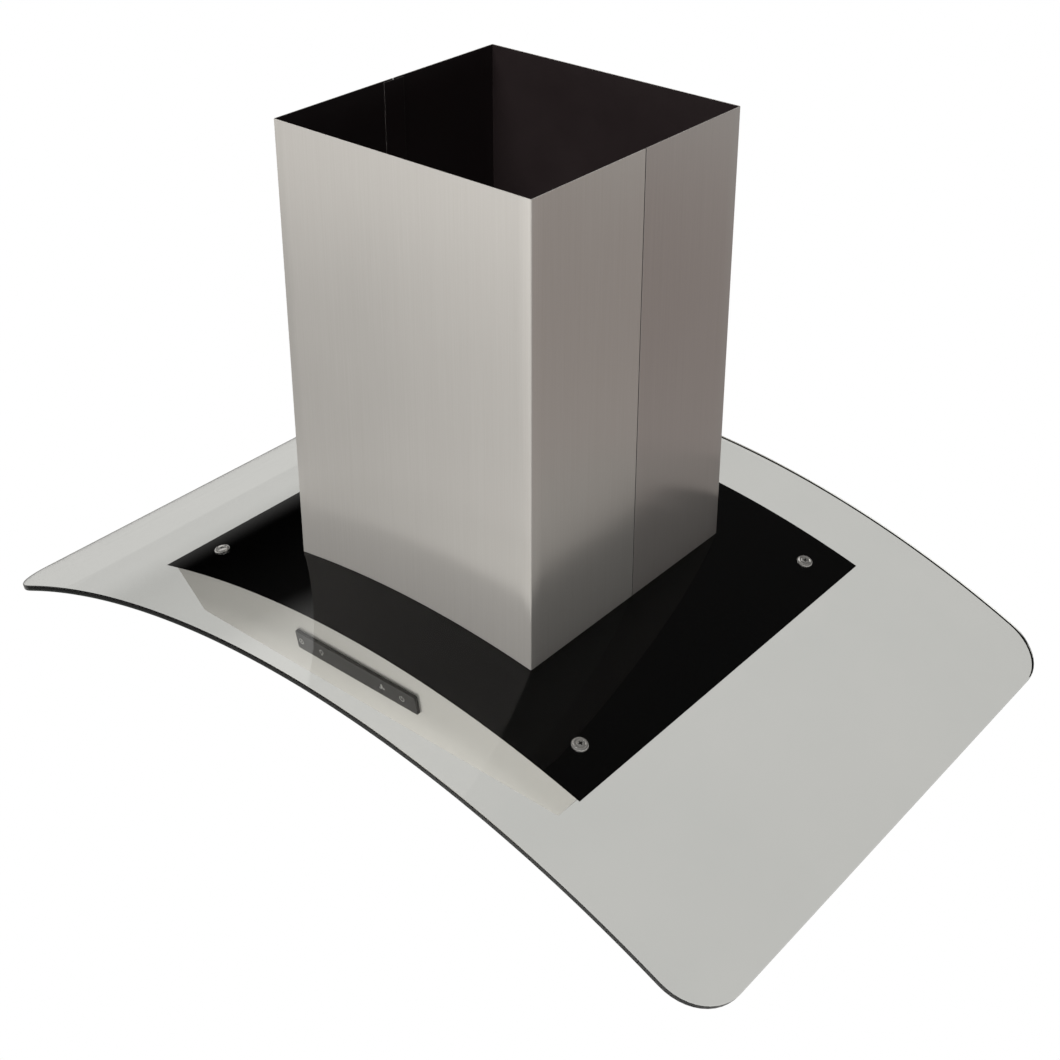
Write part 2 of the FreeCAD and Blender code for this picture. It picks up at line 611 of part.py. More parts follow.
# ---- blower -------------------------------------------------------------------------------------
def scroll_outline(offset, top, y):
    """The volute in side view: up the throat, and round a spiral that widens evenly to the outlet."""
    fan_x = FAN_CENTRE[0]
    fan_z = CROWN_Z + FAN_CENTRE[1]
    throat = SCROLL_THROAT + offset
    start = math.acos((-throat - fan_x) / (SCROLL_START_RADIUS + offset))
    end = 2 * math.pi
    steps = 16
    spiral = []
    for i in range(steps + 1):
        share = i / steps
        turn = start + share * (end - start)
        radius = SCROLL_START_RADIUS + offset + share * (SCROLL_END_RADIUS - SCROLL_START_RADIUS)
        spiral.append(Vector(fan_x + radius * math.cos(turn), y, fan_z + radius * math.sin(turn)))
    curve = Part.BSplineCurve()
    curve.interpolate(spiral)
    top_left = Vector(spiral[0].x, y, top)
    top_right = Vector(spiral[-1].x, y, top)
    return Part.Wire([
        Part.LineSegment(top_left, spiral[0]).toShape(),
        curve.toShape(),
        Part.LineSegment(spiral[-1], top_right).toShape(),
        Part.LineSegment(top_right, top_left).toShape(),
    ])


def scroll_prism(offset, top, y0, y1):
    """The volute's outline, drawn out along Y."""
    return Part.Face(scroll_outline(offset, top, y0)).extrude(Vector(0, y1 - y0, 0))


def make_scroll():
    fan_x = FAN_CENTRE[0]
    fan_z = CROWN_Z + FAN_CENTRE[1]
    top = CROWN_Z + CASING_TOP
    half = SCROLL_HALF_WIDTH
    wall = scroll_prism(SCROLL_WALL, top, -half, half)
    save("blower_scroll", wall.cut(scroll_prism(0, top + 5, -half - 1, half + 1)))
    plate = scroll_prism(SCROLL_WALL, top, half, half + SCROLL_WALL)
    lip = rod_along_y(INLET_RADIUS + 2, fan_x, fan_z, half - 4, half)
    plate = plate.fuse(lip).cut(rod_along_y(INLET_RADIUS, fan_x, fan_z, half - 5, half + 3))
    plate = plate.removeSplitter()
    save("blower_plate_back", plate)
    save("blower_plate_front", plate.mirror(Vector(0, 0, 0), Y_AXIS))


def make_wheel():
    fan_x = FAN_CENTRE[0]
    fan_z = CROWN_Z + FAN_CENTRE[1]
    half = WHEEL_HALF_WIDTH
    disc_plate = rod_along_y(WHEEL_RADIUS, fan_x, fan_z, -3, -1)
    hub = rod_along_y(12, fan_x, fan_z, -14, 2)
    rings = []
    for y0, y1 in ((-half, 2 - half), (half - 2, half)):
        ring = rod_along_y(WHEEL_RADIUS, fan_x, fan_z, y0, y1)
        rings.append(ring.cut(rod_along_y(WHEEL_RADIUS - 13, fan_x, fan_z, y0 - 1, y1 + 1)))
    blade = block(-6.5, 6.5, -half, half, -0.4, 0.4)
    blade.rotate(Vector(0, 0, 0), Y_AXIS, 35)
    blade.translate(Vector(fan_x + WHEEL_RADIUS - 6.5, 0, fan_z))
    blades = []
    for i in range(BLADE_COUNT):
        turned = blade.copy()
        turned.rotate(Vector(fan_x, 0, fan_z), Y_AXIS, i * 360.0 / BLADE_COUNT)
        blades.append(turned)
    wheel = disc_plate.fuse([hub] + rings + blades)
    save("blower_wheel", wheel.cut(rod_along_y(SHAFT_RADIUS, fan_x, fan_z, -20, 20)))
    save("motor_shaft", rod_along_y(SHAFT_RADIUS, fan_x, fan_z, -18, 62))


def make_motor():
    fan_x = FAN_CENTRE[0]
    fan_z = CROWN_Z + FAN_CENTRE[1]
    can = rod_along_y(MOTOR_RADIUS, fan_x, fan_z, 4, 64)
    hollows = [rod_along_y(MOTOR_RADIUS - 2, fan_x, fan_z, 14, 54),
               rod_along_y(11, fan_x, fan_z, 6, 62),
               rod_along_y(SHAFT_RADIUS + 1, fan_x, fan_z, 3, 65)]
    vents = [rod_along_y(4, fan_x + 28 * math.cos(t), fan_z + 28 * math.sin(t), 3, 65)
             for t in [math.radians(30 * i) for i in range(12)]]
    save("motor_can", can.cut(hollows + vents))
    bearings = []
    for y0 in (6.2, 54.8):
        ring = rod_along_y(10.9, fan_x, fan_z, y0, y0 + 7)
        bearings.append(ring.cut(rod_along_y(SHAFT_RADIUS + RUNNING_GAP, fan_x, fan_z, y0 - 1, y0 + 8)))
    save("motor_bearings", Part.makeCompound(bearings))
    face = SCROLL_HALF_WIDTH + SCROLL_WALL
    bracket = rod_along_y(30, fan_x, fan_z, face, face + 2)
    for i in range(3):
        arm = block(fan_x, fan_x + 68, face, face + 2, fan_z - 7, fan_z + 7)
        arm.rotate(Vector(fan_x, 0, fan_z), Y_AXIS, 90 + 120 * i)
        bracket = bracket.fuse(arm)
    boss = rod_along_y(20, fan_x, fan_z, 64, face)
    bracket = bracket.fuse(boss).cut(rod_along_y(SHAFT_RADIUS + 2, fan_x, fan_z, 60, face + 3))
    save("motor_bracket", bracket.removeSplitter())


def make_electrics():
    wall = CASING_HALF[0] - SHEET
    can = disc(15, wall - 16, -80, CROWN_Z + 120, CROWN_Z + 182)
    clip = block(wall - 16, wall, -88, -72, CROWN_Z + 140, CROWN_Z + 160)
    save("motor_capacitor", can.fuse(clip).removeSplitter())
    box = block(wall - 36, wall, 10, 92, CROWN_Z + 120, CROWN_Z + 190)
    box = box.cut(block(wall - 34, wall - 2, 12, 90, CROWN_Z + 119, CROWN_Z + 188))
    save("terminal_box", box)
    save("mains_gland", cable_gland())


def main():
    bolts = frame_bolts()
    make_glass()
    make_print()
    make_gasket()
    make_canopy_fasteners()
    make_body_panels()
    make_deck()
    make_bottom_panel()
    make_controls()
    make_lamps()
    make_filters()
    make_chimneys()
    save("frame_bolts", bolts)
    make_posts(bolts)
    make_head_frame()
    make_casing(bolts)
    make_collar()
    make_flaps()
    make_scroll()
    make_wheel()
    make_motor()
    make_electrics()


main()
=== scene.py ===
"""An island range hood: its glass canopy, folded steel chimney and body, dressed and set in a plain studio."""

import logging
import math
from dataclasses import dataclass, field
from enum import Enum
from typing import Callable, Iterable, Optional, Sequence

import bmesh
import bpy
from mathutils import Matrix, Vector


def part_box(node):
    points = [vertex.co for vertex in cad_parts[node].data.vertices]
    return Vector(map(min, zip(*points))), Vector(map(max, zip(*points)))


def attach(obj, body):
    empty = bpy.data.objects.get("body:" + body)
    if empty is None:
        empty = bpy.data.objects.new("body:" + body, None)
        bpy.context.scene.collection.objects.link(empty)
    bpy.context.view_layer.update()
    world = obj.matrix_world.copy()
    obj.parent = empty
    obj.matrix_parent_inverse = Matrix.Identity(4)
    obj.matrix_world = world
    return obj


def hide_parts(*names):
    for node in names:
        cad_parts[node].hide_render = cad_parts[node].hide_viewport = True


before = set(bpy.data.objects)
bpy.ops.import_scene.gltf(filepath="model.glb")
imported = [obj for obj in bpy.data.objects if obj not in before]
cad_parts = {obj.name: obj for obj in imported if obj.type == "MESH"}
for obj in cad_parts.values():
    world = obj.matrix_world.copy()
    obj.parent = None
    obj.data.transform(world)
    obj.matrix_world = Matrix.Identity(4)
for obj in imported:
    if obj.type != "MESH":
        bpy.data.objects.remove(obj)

LOG = logging.getLogger("range_hood")
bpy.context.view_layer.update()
Colour = tuple[float, float, float]
Point2 = tuple[float, float]
Socket = bpy.types.NodeSocket
Thing = bpy.types.Object
WARM_WHITE = (1.0, 0.985, 0.96)
WHITE = (1.0, 1.0, 1.0, 1.0)


# ---- named choices ----
class Grain(Enum):
    """Which way a sheet was brushed, as noise cells per metre along X, Y and Z, and its turning axis."""

    UPRIGHT = ((2400.0, 2400.0, 16.0), "Z")
    ALONG_X = ((16.0, 2400.0, 2400.0), "X")
    ALONG_Y = ((2400.0, 16.0, 2400.0), "Y")

    @property
    def cells(self) -> Vector:
        """Noise cells per metre along the three axes."""
        return Vector(self.value[0])

    @property
    def turning_axis(self) -> str:
        """The axis round which the highlight's tangent runs."""
        return self.value[1]


class Pole(Enum):
    """One of two opposite places: its word in the parts' names, and its sign along its axis."""

    @property
    def word(self) -> str:
        """Its name, as the parts use it."""
        return self.value[0]

    @property
    def sign(self) -> int:
        """Which way along the axis it lies."""
        return self.value[1]


class Side(Pole):
    """The two sides of the hood along X, seen from its controls."""

    LEFT = ("left", -1)
    RIGHT = ("right", 1)


class End(Pole):
    """The two long edges of the hood along Y: controls at the front."""

    FRONT = ("front", -1)
    BACK = ("back", 1)


# ---- node work ----
@dataclass(frozen=True)
class Cloud:
    """Noise at a real scale: cells per metre along each axis, octaves, and strength of the finer ones."""

    cells: Sequence[float]
    detail: float = 2.0
    roughness: float = 0.5


def even(cells: float, detail: float = 2.0, roughness: float = 0.5) -> Cloud:
    """A cloud whose cells are as long as they are wide."""
    return Cloud((cells, cells, cells), detail, roughness)


def pores(cells: float) -> Cloud:
    """The even grain of a moulding or a paint."""
    return even(cells, 3.0, 0.6)


class Nodes:
    """Lays out the nodes of one tree."""

    def __init__(self, tree: bpy.types.NodeTree) -> None:
        """Takes the tree."""
        self.tree = tree

    def add(self, kind: str, inputs: Optional[dict] = None, **settings: object) -> bpy.types.Node:
        """Adds a node.

        Args:
            kind: the node's type.
            inputs: values of its sockets by name or place.
            settings: its own properties.

        Returns:
            The node.
        """
        node = self.tree.nodes.new(kind)
        for key, value in settings.items():
            setattr(node, key, value)
        for key, value in (inputs or {}).items():
            node.inputs[key].default_value = value
        return node

    def wire(self, source: Socket, target: Socket) -> None:
        """Links an output to an input."""
        self.tree.links.new(source, target)

    def span(self, source: Socket, low: float, high: float, start: float = 0.3, end: float = 0.7,
             easing: str = "LINEAR") -> Socket:
        """Stretches a value to a range.

        Args:
            source: the value.
            low: result at start.
            high: result at end.
            start: value that gives low.
            end: value that gives high.
            easing: how it goes from one to the other.

        Returns:
            The stretched value.
        """
        limits = {"From Min": start, "From Max": end, "To Min": low, "To Max": high}
        node = self.add("ShaderNodeMapRange", limits, interpolation_type=easing)
        self.wire(source, node.inputs["Value"])
        return node.outputs["Result"]

    def add_up(self, total: Optional[Socket], more: Socket, start: float) -> Socket:
        """Adds a value to a running total, or to a start where there is no total yet.

        Args:
            total: the total so far, if any.
            more: what is added.
            start: what a first value is added to.

        Returns:
            The new total.
        """
        node = self.add("ShaderNodeMath", {0: start}, operation="ADD")
        if total is not None:
            self.wire(total, node.inputs[0])
        self.wire(more, node.inputs[1])
        return node.outputs[0]

    def choose(self, others: bpy.types.Node, seen: bpy.types.Node, output: bpy.types.Node) -> None:
        """Wires two shaders to an output: one for what is seen itself, one for all other light.

        Args:
            others: the shader for all other light.
            seen: the shader for what is seen itself.
            output: the output node.
        """
        mix = self.add("ShaderNodeMixShader")
        self.wire(self.add("ShaderNodeLightPath").outputs["Is Camera Ray"], mix.inputs[0])
        self.wire(others.outputs[0], mix.inputs[1])
        self.wire(seen.outputs[0], mix.inputs[2])
        self.wire(mix.outputs[0], output.inputs["Surface"])


class NodeBench(Nodes):
    """Lays out the nodes of one material and wires them to its main shader."""

    def __init__(self, name: str) -> None:
        """Starts a material of that name with its main shader.

        Args:
            name: the material's name.
        """
        self.material = bpy.data.materials.new(name)
        self.material.use_nodes = True
        super().__init__(self.material.node_tree)
        self.shader = self.tree.nodes["Principled BSDF"]
        self.place = self.add("ShaderNodeTexCoord").outputs["Object"]

    def set(self, **values: object) -> None:
        """Sets the main shader's sockets; an underscore in a name stands for a space."""
        for key, value in values.items():
            self.shader.inputs[key.replace("_", " ")].default_value = value

    def noise(self, cloud: Cloud) -> Socket:
        """A cloud's noise, about 0.25 to 0.75.

        Args:
            cloud: its cells and octaves.

        Returns:
            The noise.
        """
        mapping = self.add("ShaderNodeMapping", {"Scale": cloud.cells})
        self.wire(self.place, mapping.inputs["Vector"])
        node = self.add("ShaderNodeTexNoise", {"Scale": 1.0, "Detail": cloud.detail,
                                               "Roughness": cloud.roughness})
        self.wire(mapping.outputs["Vector"], node.inputs["Vector"])
        return node.outputs["Fac"]

    def crystals(self, cells: float) -> Socket:
        """Crystal-like cells, each of one random colour.

        Args:
            cells: cells per metre.

        Returns:
            The colour.
        """
        node = self.add("ShaderNodeTexVoronoi", {"Scale": cells, "Randomness": 1.0})
        self.wire(self.place, node.inputs["Vector"])
        return node.outputs["Color"]

    def ramp(self, source: Socket, dark: Colour, light: Colour,
             start: float = 0.3, end: float = 0.7) -> Socket:
        """A colour that goes from dark to light as the source goes from start to end.

        Args:
            source: the value.
            dark: colour at start.
            light: colour at end.
            start: value that gives dark.
            end: value that gives light.

        Returns:
            The colour.
        """
        node = self.add("ShaderNodeValToRGB")
        first, last = node.color_ramp.elements
        first.position, first.color = start, (*dark, 1.0)
        last.position, last.color = end, (*light, 1.0)
        self.wire(source, node.inputs["Fac"])
        return node.outputs["Color"]

    def mix(self, first: Socket, second: Socket,
            share: float) -> Socket:
        """Adds two values, each weighed by its share.

        Args:
            first: one value.
            second: the other.
            share: share of the second.

        Returns:
            The sum.
        """
        node = self.add("ShaderNodeMix", data_type="FLOAT")
        node.inputs[0].default_value = share
        self.wire(first, node.inputs[2])
        self.wire(second, node.inputs[3])
        return node.outputs[0]

    def edge_mask(self, radius: float) -> Socket:
        """How near a point lies to a sharp edge: 0 on a flat, towards 1 on an edge.

        Args:
            radius: how far from the edge it starts.

        Returns:
            The mask.
        """
        bevel = self.add("ShaderNodeBevel", {"Radius": radius}, samples=4)
        flat = self.add("ShaderNodeNewGeometry").outputs["Normal"]
        likeness = self.add("ShaderNodeVectorMath", operation="DOT_PRODUCT")
        self.wire(bevel.outputs["Normal"], likeness.inputs[0])
        self.wire(flat, likeness.inputs[1])
        return self.span(likeness.outputs["Value"], 1.0, 0.0, 0.75, 0.99)

    def blend_colour(self, base: Socket, over: Colour,
                     mask: Socket) -> Socket:
        """Lays a colour over another where the mask says.

        Args:
            base: the colour below.
            over: the colour on top.
            mask: where it lies.

        Returns:
            The colour.
        """
        node = self.add("ShaderNodeMix", data_type="RGBA")
        node.inputs[7].default_value = (*over, 1.0)
        self.wire(mask, node.inputs[0])
        self.wire(base, node.inputs[6])
        return node.outputs[2]

    def bump(self, height: Socket, depth: float, strength: float = 1.0,
             under: Optional[Socket] = None) -> Socket:
        """Turns a height into a surface normal.

        Args:
            height: the height.
            depth: real depth, in metres, of a height of 1.
            strength: how much of it shows.
            under: a normal that it goes on top of.

        Returns:
            The normal.
        """
        node = self.add("ShaderNodeBump", {"Strength": strength, "Distance": depth})
        self.wire(height, node.inputs["Height"])
        if under is not None:
            self.wire(under, node.inputs["Normal"])
        return node.outputs["Normal"]

    def finish(self, colour: Socket, roughness: Socket,
               normal: Optional[Socket] = None) -> bpy.types.Material:
        """Wires colour, roughness and normal to the main shader, and gives the material.

        Args:
            colour: the base colour.
            roughness: the roughness.
            normal: the surface normal, if any.

        Returns:
            The material.
        """
        self.wire(colour, self.shader.inputs["Base Color"])
        self.wire(roughness, self.shader.inputs["Roughness"])
        if normal is not None:
            self.wire(normal, self.shader.inputs["Normal"])
        return self.material


# ---- finishes ----
@dataclass(frozen=True)
class Finish:
    """Any finish: a name, the record's slot, and a way to make its material."""

    name: str
    slot: str

    def make(self) -> bpy.types.Material:
        """Makes the material."""
        raise NotImplementedError

    def material(self) -> bpy.types.Material:
        """The material, made once."""
        return bpy.data.materials.get(self.name) or self.make()


@dataclass(frozen=True)
class BrushedSteel(Finish):
    """Stainless sheet with a satin line brushed one way: a clear shine over a soft haze."""

    grain: Grain = Grain.UPRIGHT
    dark: Colour = (0.575, 0.555, 0.53)
    light: Colour = (0.615, 0.597, 0.572)
    smooth: float = 0.17
    rough: float = 0.24
    stretch: float = 0.55
    shine: float = 0.52
    line_depth: float = 0.0000012
    cloud_cells: float = 6.0
    cloud_depth: float = 0.0008
    broad_share: float = 0.4
    painted_edge_highlight: Colour = (0.78, 0.765, 0.74)

    def make(self) -> bpy.types.Material:
        """Makes the material.

        Returns:
            The material.
        """
        bench = NodeBench(self.name)
        bench.set(Metallic=self.shine, Anisotropic=self.stretch, Specular_IOR_Level=0.0)
        tangent = bench.add("ShaderNodeTangent", direction_type="RADIAL", axis=self.grain.turning_axis)
        bench.wire(tangent.outputs["Tangent"], bench.shader.inputs["Tangent"])
        lines = bench.noise(Cloud(self.grain.cells, 3.0, 0.65))
        broad = bench.noise(Cloud(self.grain.cells * 0.3))
        cloud = bench.noise(even(self.cloud_cells, 3.0))
        streaks = bench.mix(lines, broad, self.broad_share)
        colour = bench.ramp(streaks, self.dark, self.light, 0.32, 0.68)
        # Painted highlight: a lighter colour laid on sharp edges, where they would catch the light.
        colour = bench.blend_colour(colour, self.painted_edge_highlight, bench.edge_mask(0.0006))
        roughness = bench.span(bench.mix(streaks, cloud, 0.5), self.smooth, self.rough, 0.36, 0.64)
        normal = bench.bump(cloud, self.cloud_depth, 0.2)
        normal = bench.bump(streaks, self.line_depth, 1.0, normal)
        return bench.finish(colour, roughness, normal)


@dataclass(frozen=True)
class ZincSpangle(Finish):
    """Hot-dipped sheet: frosty crystals, each catching the light its own way."""

    dark: Colour = (0.38, 0.4, 0.42)
    light: Colour = (0.62, 0.65, 0.68)
    smooth: float = 0.3
    rough: float = 0.55
    crystals: float = 110.0

    def make(self) -> bpy.types.Material:
        """Makes the material.

        Returns:
            The material.
        """
        bench = NodeBench(self.name)
        bench.set(Metallic=0.9)
        frost = bench.noise(even(900.0, 3.0))
        tone = bench.add("ShaderNodeSeparateColor")
        bench.wire(bench.crystals(self.crystals), tone.inputs["Color"])
        reach = (0.1, 0.9)
        colour = bench.ramp(bench.mix(tone.outputs[0], frost, 0.35), self.dark, self.light, *reach)
        roughness = bench.span(bench.mix(tone.outputs[1], frost, 0.4), self.smooth, self.rough, *reach)
        return bench.finish(colour, roughness, bench.bump(frost, 0.00004))


@dataclass(frozen=True)
class Surface(Finish):
    """A finish of a broad cloud and fine marks: both may tint and dull it, and the fine ones stand out."""

    dark: Colour
    light: Colour
    smooth: float
    rough: float
    broad: Cloud
    fine: Optional[Cloud] = None
    depth: float = 0.00001
    relief: float = 1.0
    fine_in_colour: float = 0.0
    fine_in_gloss: float = 0.0
    colour_reach: Point2 = (0.3, 0.7)
    gloss_reach: Point2 = (0.3, 0.7)
    painted_edge_highlight: Optional[Colour] = None
    edge_reach: float = 0.0004
    shine: float = 0.0
    index: float = 1.5
    mirror: float = 0.5
    clear: float = 0.0

    def make(self) -> bpy.types.Material:
        """Makes the material.

        Returns:
            The material.
        """
        bench = NodeBench(self.name)
        bench.set(Metallic=self.shine, IOR=self.index, Specular_IOR_Level=self.mirror,
                  Transmission_Weight=self.clear)
        broad = bench.noise(self.broad)
        fine = bench.noise(self.fine) if self.fine else broad
        tone = bench.mix(broad, fine, self.fine_in_colour)
        colour = bench.ramp(tone, self.dark, self.light, *self.colour_reach)
        # Painted highlight: a lighter colour laid on sharp edges, where they would catch the light.
        if self.painted_edge_highlight:
            colour = bench.blend_colour(colour, self.painted_edge_highlight, bench.edge_mask(self.edge_reach))
        gloss = bench.mix(broad, fine, self.fine_in_gloss)
        roughness = bench.span(gloss, self.smooth, self.rough, *self.gloss_reach)
        return bench.finish(colour, roughness, bench.bump(fine, self.depth, self.relief))


@dataclass(frozen=True)
class SheetMetal(Surface):
    """Plain metal, drawn, ground or turned, with faint marks of its making."""

    dark: Colour = (0.5, 0.5, 0.5)
    light: Colour = (0.62, 0.62, 0.62)
    smooth: float = 0.2
    rough: float = 0.4
    broad: Cloud = even(60.0, 4.0)
    fine: Optional[Cloud] = even(1500.0)
    depth: float = 0.00003
    fine_in_colour: float = 0.45
    fine_in_gloss: float = 0.45
    painted_edge_highlight: Optional[Colour] = (0.8, 0.8, 0.8)
    edge_reach: float = 0.0005
    shine: float = 1.0


@dataclass(frozen=True)
class Moulding(Surface):
    """Moulded plastic, rubber, foam or paint with a fine grain."""

    dark: Colour = (0.025, 0.025, 0.027)
    light: Colour = (0.045, 0.045, 0.048)
    smooth: float = 0.4
    rough: float = 0.55
    broad: Cloud = even(25.0)
    fine: Optional[Cloud] = pores(1600.0)
    depth: float = 0.00005
    fine_in_colour: float = 0.5
    fine_in_gloss: float = 0.5
    painted_edge_highlight: Optional[Colour] = (0.09, 0.09, 0.095)


CHIMNEY_SKIN = BrushedSteel("chimney_brushed_upright", "brushed_steel")
# Painted shade: the back shells take a darker, warmer copy of the same brushed steel, standing in for the shade
# on the chimney's rear faces.
CHIMNEY_BACK_SHADED_SKIN = BrushedSteel("chimney_back_painted_shade_brushed", "brushed_steel", dark=(0.475, 0.447, 0.43),
                                 light=(0.51, 0.482, 0.463))
BODY_BRUSHING = {"smooth": 0.268, "rough": 0.272, "stretch": 0.3, "line_depth": 0.0000004}
# Painted light: the front, back and bottom panels take a near-white copy of the body steel, lighter than the
# side panels, standing in for the light on the front panel under the glass.
BODY_LONGWAYS_PAINTED_LIGHT = BrushedSteel("body_brushed_longways_painted_light", "brushed_steel", grain=Grain.ALONG_X,
                             dark=(0.735, 0.715, 0.68), light=(0.755, 0.735, 0.7), **BODY_BRUSHING)
BODY_SIDEWAYS = BrushedSteel("body_brushed_sideways", "brushed_steel", grain=Grain.ALONG_Y, **BODY_BRUSHING)
FILTER_SKIN = BrushedSteel("filter_brushed", "filter_steel", grain=Grain.ALONG_Y, dark=(0.5, 0.5, 0.5),
                           light=(0.58, 0.58, 0.58))
# Painted shade: the chimney's inner side and seam tongues are coloured near-black to stand in for the shade
# inside the flue; raw steel is not this dark.
SHADED_INSIDE_PAINT = Moulding("inner_side_painted_shade", "brushed_steel", dark=(0.016, 0.0118, 0.0125),
                      light=(0.021, 0.0158, 0.0165), smooth=0.45, rough=0.6, fine=pores(500.0),
                      depth=0.00002, painted_edge_highlight=(0.3, 0.29, 0.28))
CHROME = SheetMetal("polished_chrome", "chrome", dark=(0.72, 0.72, 0.74), light=(0.82, 0.82, 0.84),
                    smooth=0.05, rough=0.14, depth=0.000004)
SCREW_STEEL = SheetMetal("satin_screw_steel", "chrome", dark=(0.55, 0.54, 0.52), light=(0.7, 0.69, 0.67),
                         smooth=0.12, rough=0.24, depth=0.000004, shine=0.8)
# Painted shade: the deep faces of each screw's cross recess are coloured near-black to stand in for the shadow
# inside it.
RECESS_PAINTED_SHADE = SheetMetal("driver_recess_painted_shade", "chrome", dark=(0.03, 0.03, 0.03), light=(0.07, 0.07, 0.07),
                          smooth=0.35, rough=0.5, painted_edge_highlight=(0.3, 0.3, 0.29))
BOLT_ZINC = SheetMetal("zinc_plate", "bolt_zinc", dark=(0.5, 0.5, 0.47), light=(0.63, 0.63, 0.6))
GROUND_STEEL = SheetMetal("ground_steel", "ground_steel", smooth=0.15, rough=0.25, depth=0.000008)
LAMP_METAL = SheetMetal("satin_lamp_ring", "lamp_metal", dark=(0.3, 0.3, 0.3), light=(0.37, 0.37, 0.37),
                        smooth=0.14, rough=0.2, depth=0.000004)
GALVANISED = ZincSpangle("galvanised_sheet", "galvanised_steel")
MOTOR_PAINT = Moulding("stoved_motor_paint", "motor_paint", dark=(0.09, 0.09, 0.1), light=(0.14, 0.14, 0.15),
                       smooth=0.3, rough=0.42, fine=pores(700.0))
MOULDED_BLACK = Moulding("moulded_black", "moulded_black")
FOAM = Moulding("foam_seal", "foam_seal", dark=(0.03, 0.03, 0.03), light=(0.06, 0.06, 0.06), smooth=0.8,
                rough=0.95, fine=pores(900.0), depth=0.0002)
NYLON = Moulding("natural_nylon", "nylon", dark=(0.74, 0.73, 0.69), light=(0.85, 0.84, 0.8),
                 painted_edge_highlight=(0.92, 0.91, 0.88))
CAPACITOR = Moulding("capacitor_shell", "capacitor_shell", dark=(0.62, 0.61, 0.58), light=(0.74, 0.73, 0.7),
                     painted_edge_highlight=(0.82, 0.81, 0.79))
CLEAR_GLASS = Surface("clear_toughened_glass", "clear_glass", (0.9, 0.915, 0.9), (0.93, 0.94, 0.925),
                      0.0, 0.012, even(9.0, 4.0, 0.6), Cloud((14.0, 3.0, 14.0), 1.0), 0.0002, 0.06,
                      gloss_reach=(0.4, 0.7), index=1.44, clear=1.0)
# Painted shade: the ground part of the glass edge is an opaque near-black, standing in for the dark look light
# gives the edge through the glass's length.
GLASS_EDGE_PAINTED_DARK = Surface("ground_glass_edge_painted_shade", "clear_glass", (0.004, 0.006, 0.005), (0.012, 0.017, 0.014),
                     0.08, 0.2, Cloud((60.0, 60.0, 900.0), 3.0), Cloud((1500.0, 1500.0, 120.0)),
                     fine_in_gloss=1.0, index=1.52, mirror=0.2)
ENAMEL = Surface("fired_black_enamel", "black_enamel", (0.0015, 0.0015, 0.0017), (0.0035, 0.0035, 0.0038), 0.3,
                 0.45, even(400.0, 3.0), index=1.4, mirror=0.0)
TOUCH_PANEL = Surface("smoked_touch_panel", "touch_glass", (0.0105, 0.0088, 0.0074), (0.0135, 0.0115, 0.0098),
                      0.12, 0.22, even(30.0, 4.0), even(2500.0, 1.0), 0.000004, painted_edge_highlight=(0.03, 0.028, 0.026),
                      mirror=0.1)
MARK_INK = Surface("panel_mark_ink", "touch_glass", (0.72, 0.71, 0.68), (0.86, 0.85, 0.82), 0.4, 0.6,
                   even(3000.0))
LENS = Surface("frosted_lamp_lens", "lamp_lens", (0.82, 0.81, 0.77), (0.92, 0.91, 0.87), 0.25, 0.4,
               even(2600.0), depth=0.00002, index=1.49, clear=0.2)
BOARD = Surface("solder_mask", "circuit_board", (0.012, 0.085, 0.035), (0.03, 0.17, 0.07), 0.25, 0.4,
                even(2000.0), Cloud((350.0, 40.0, 350.0), 0.0), 0.00003, fine_in_colour=1.0,
                colour_reach=(0.47, 0.53))


# ---- mesh work ----
def put(name: str, data: bpy.types.ID) -> Thing:
    """Makes an object of some data and puts it in the scene.

    Args:
        name: the object's name.
        data: its mesh, lamp or camera.

    Returns:
        The object.
    """
    thing = bpy.data.objects.new(name, data)
    bpy.context.scene.collection.objects.link(thing)
    return thing


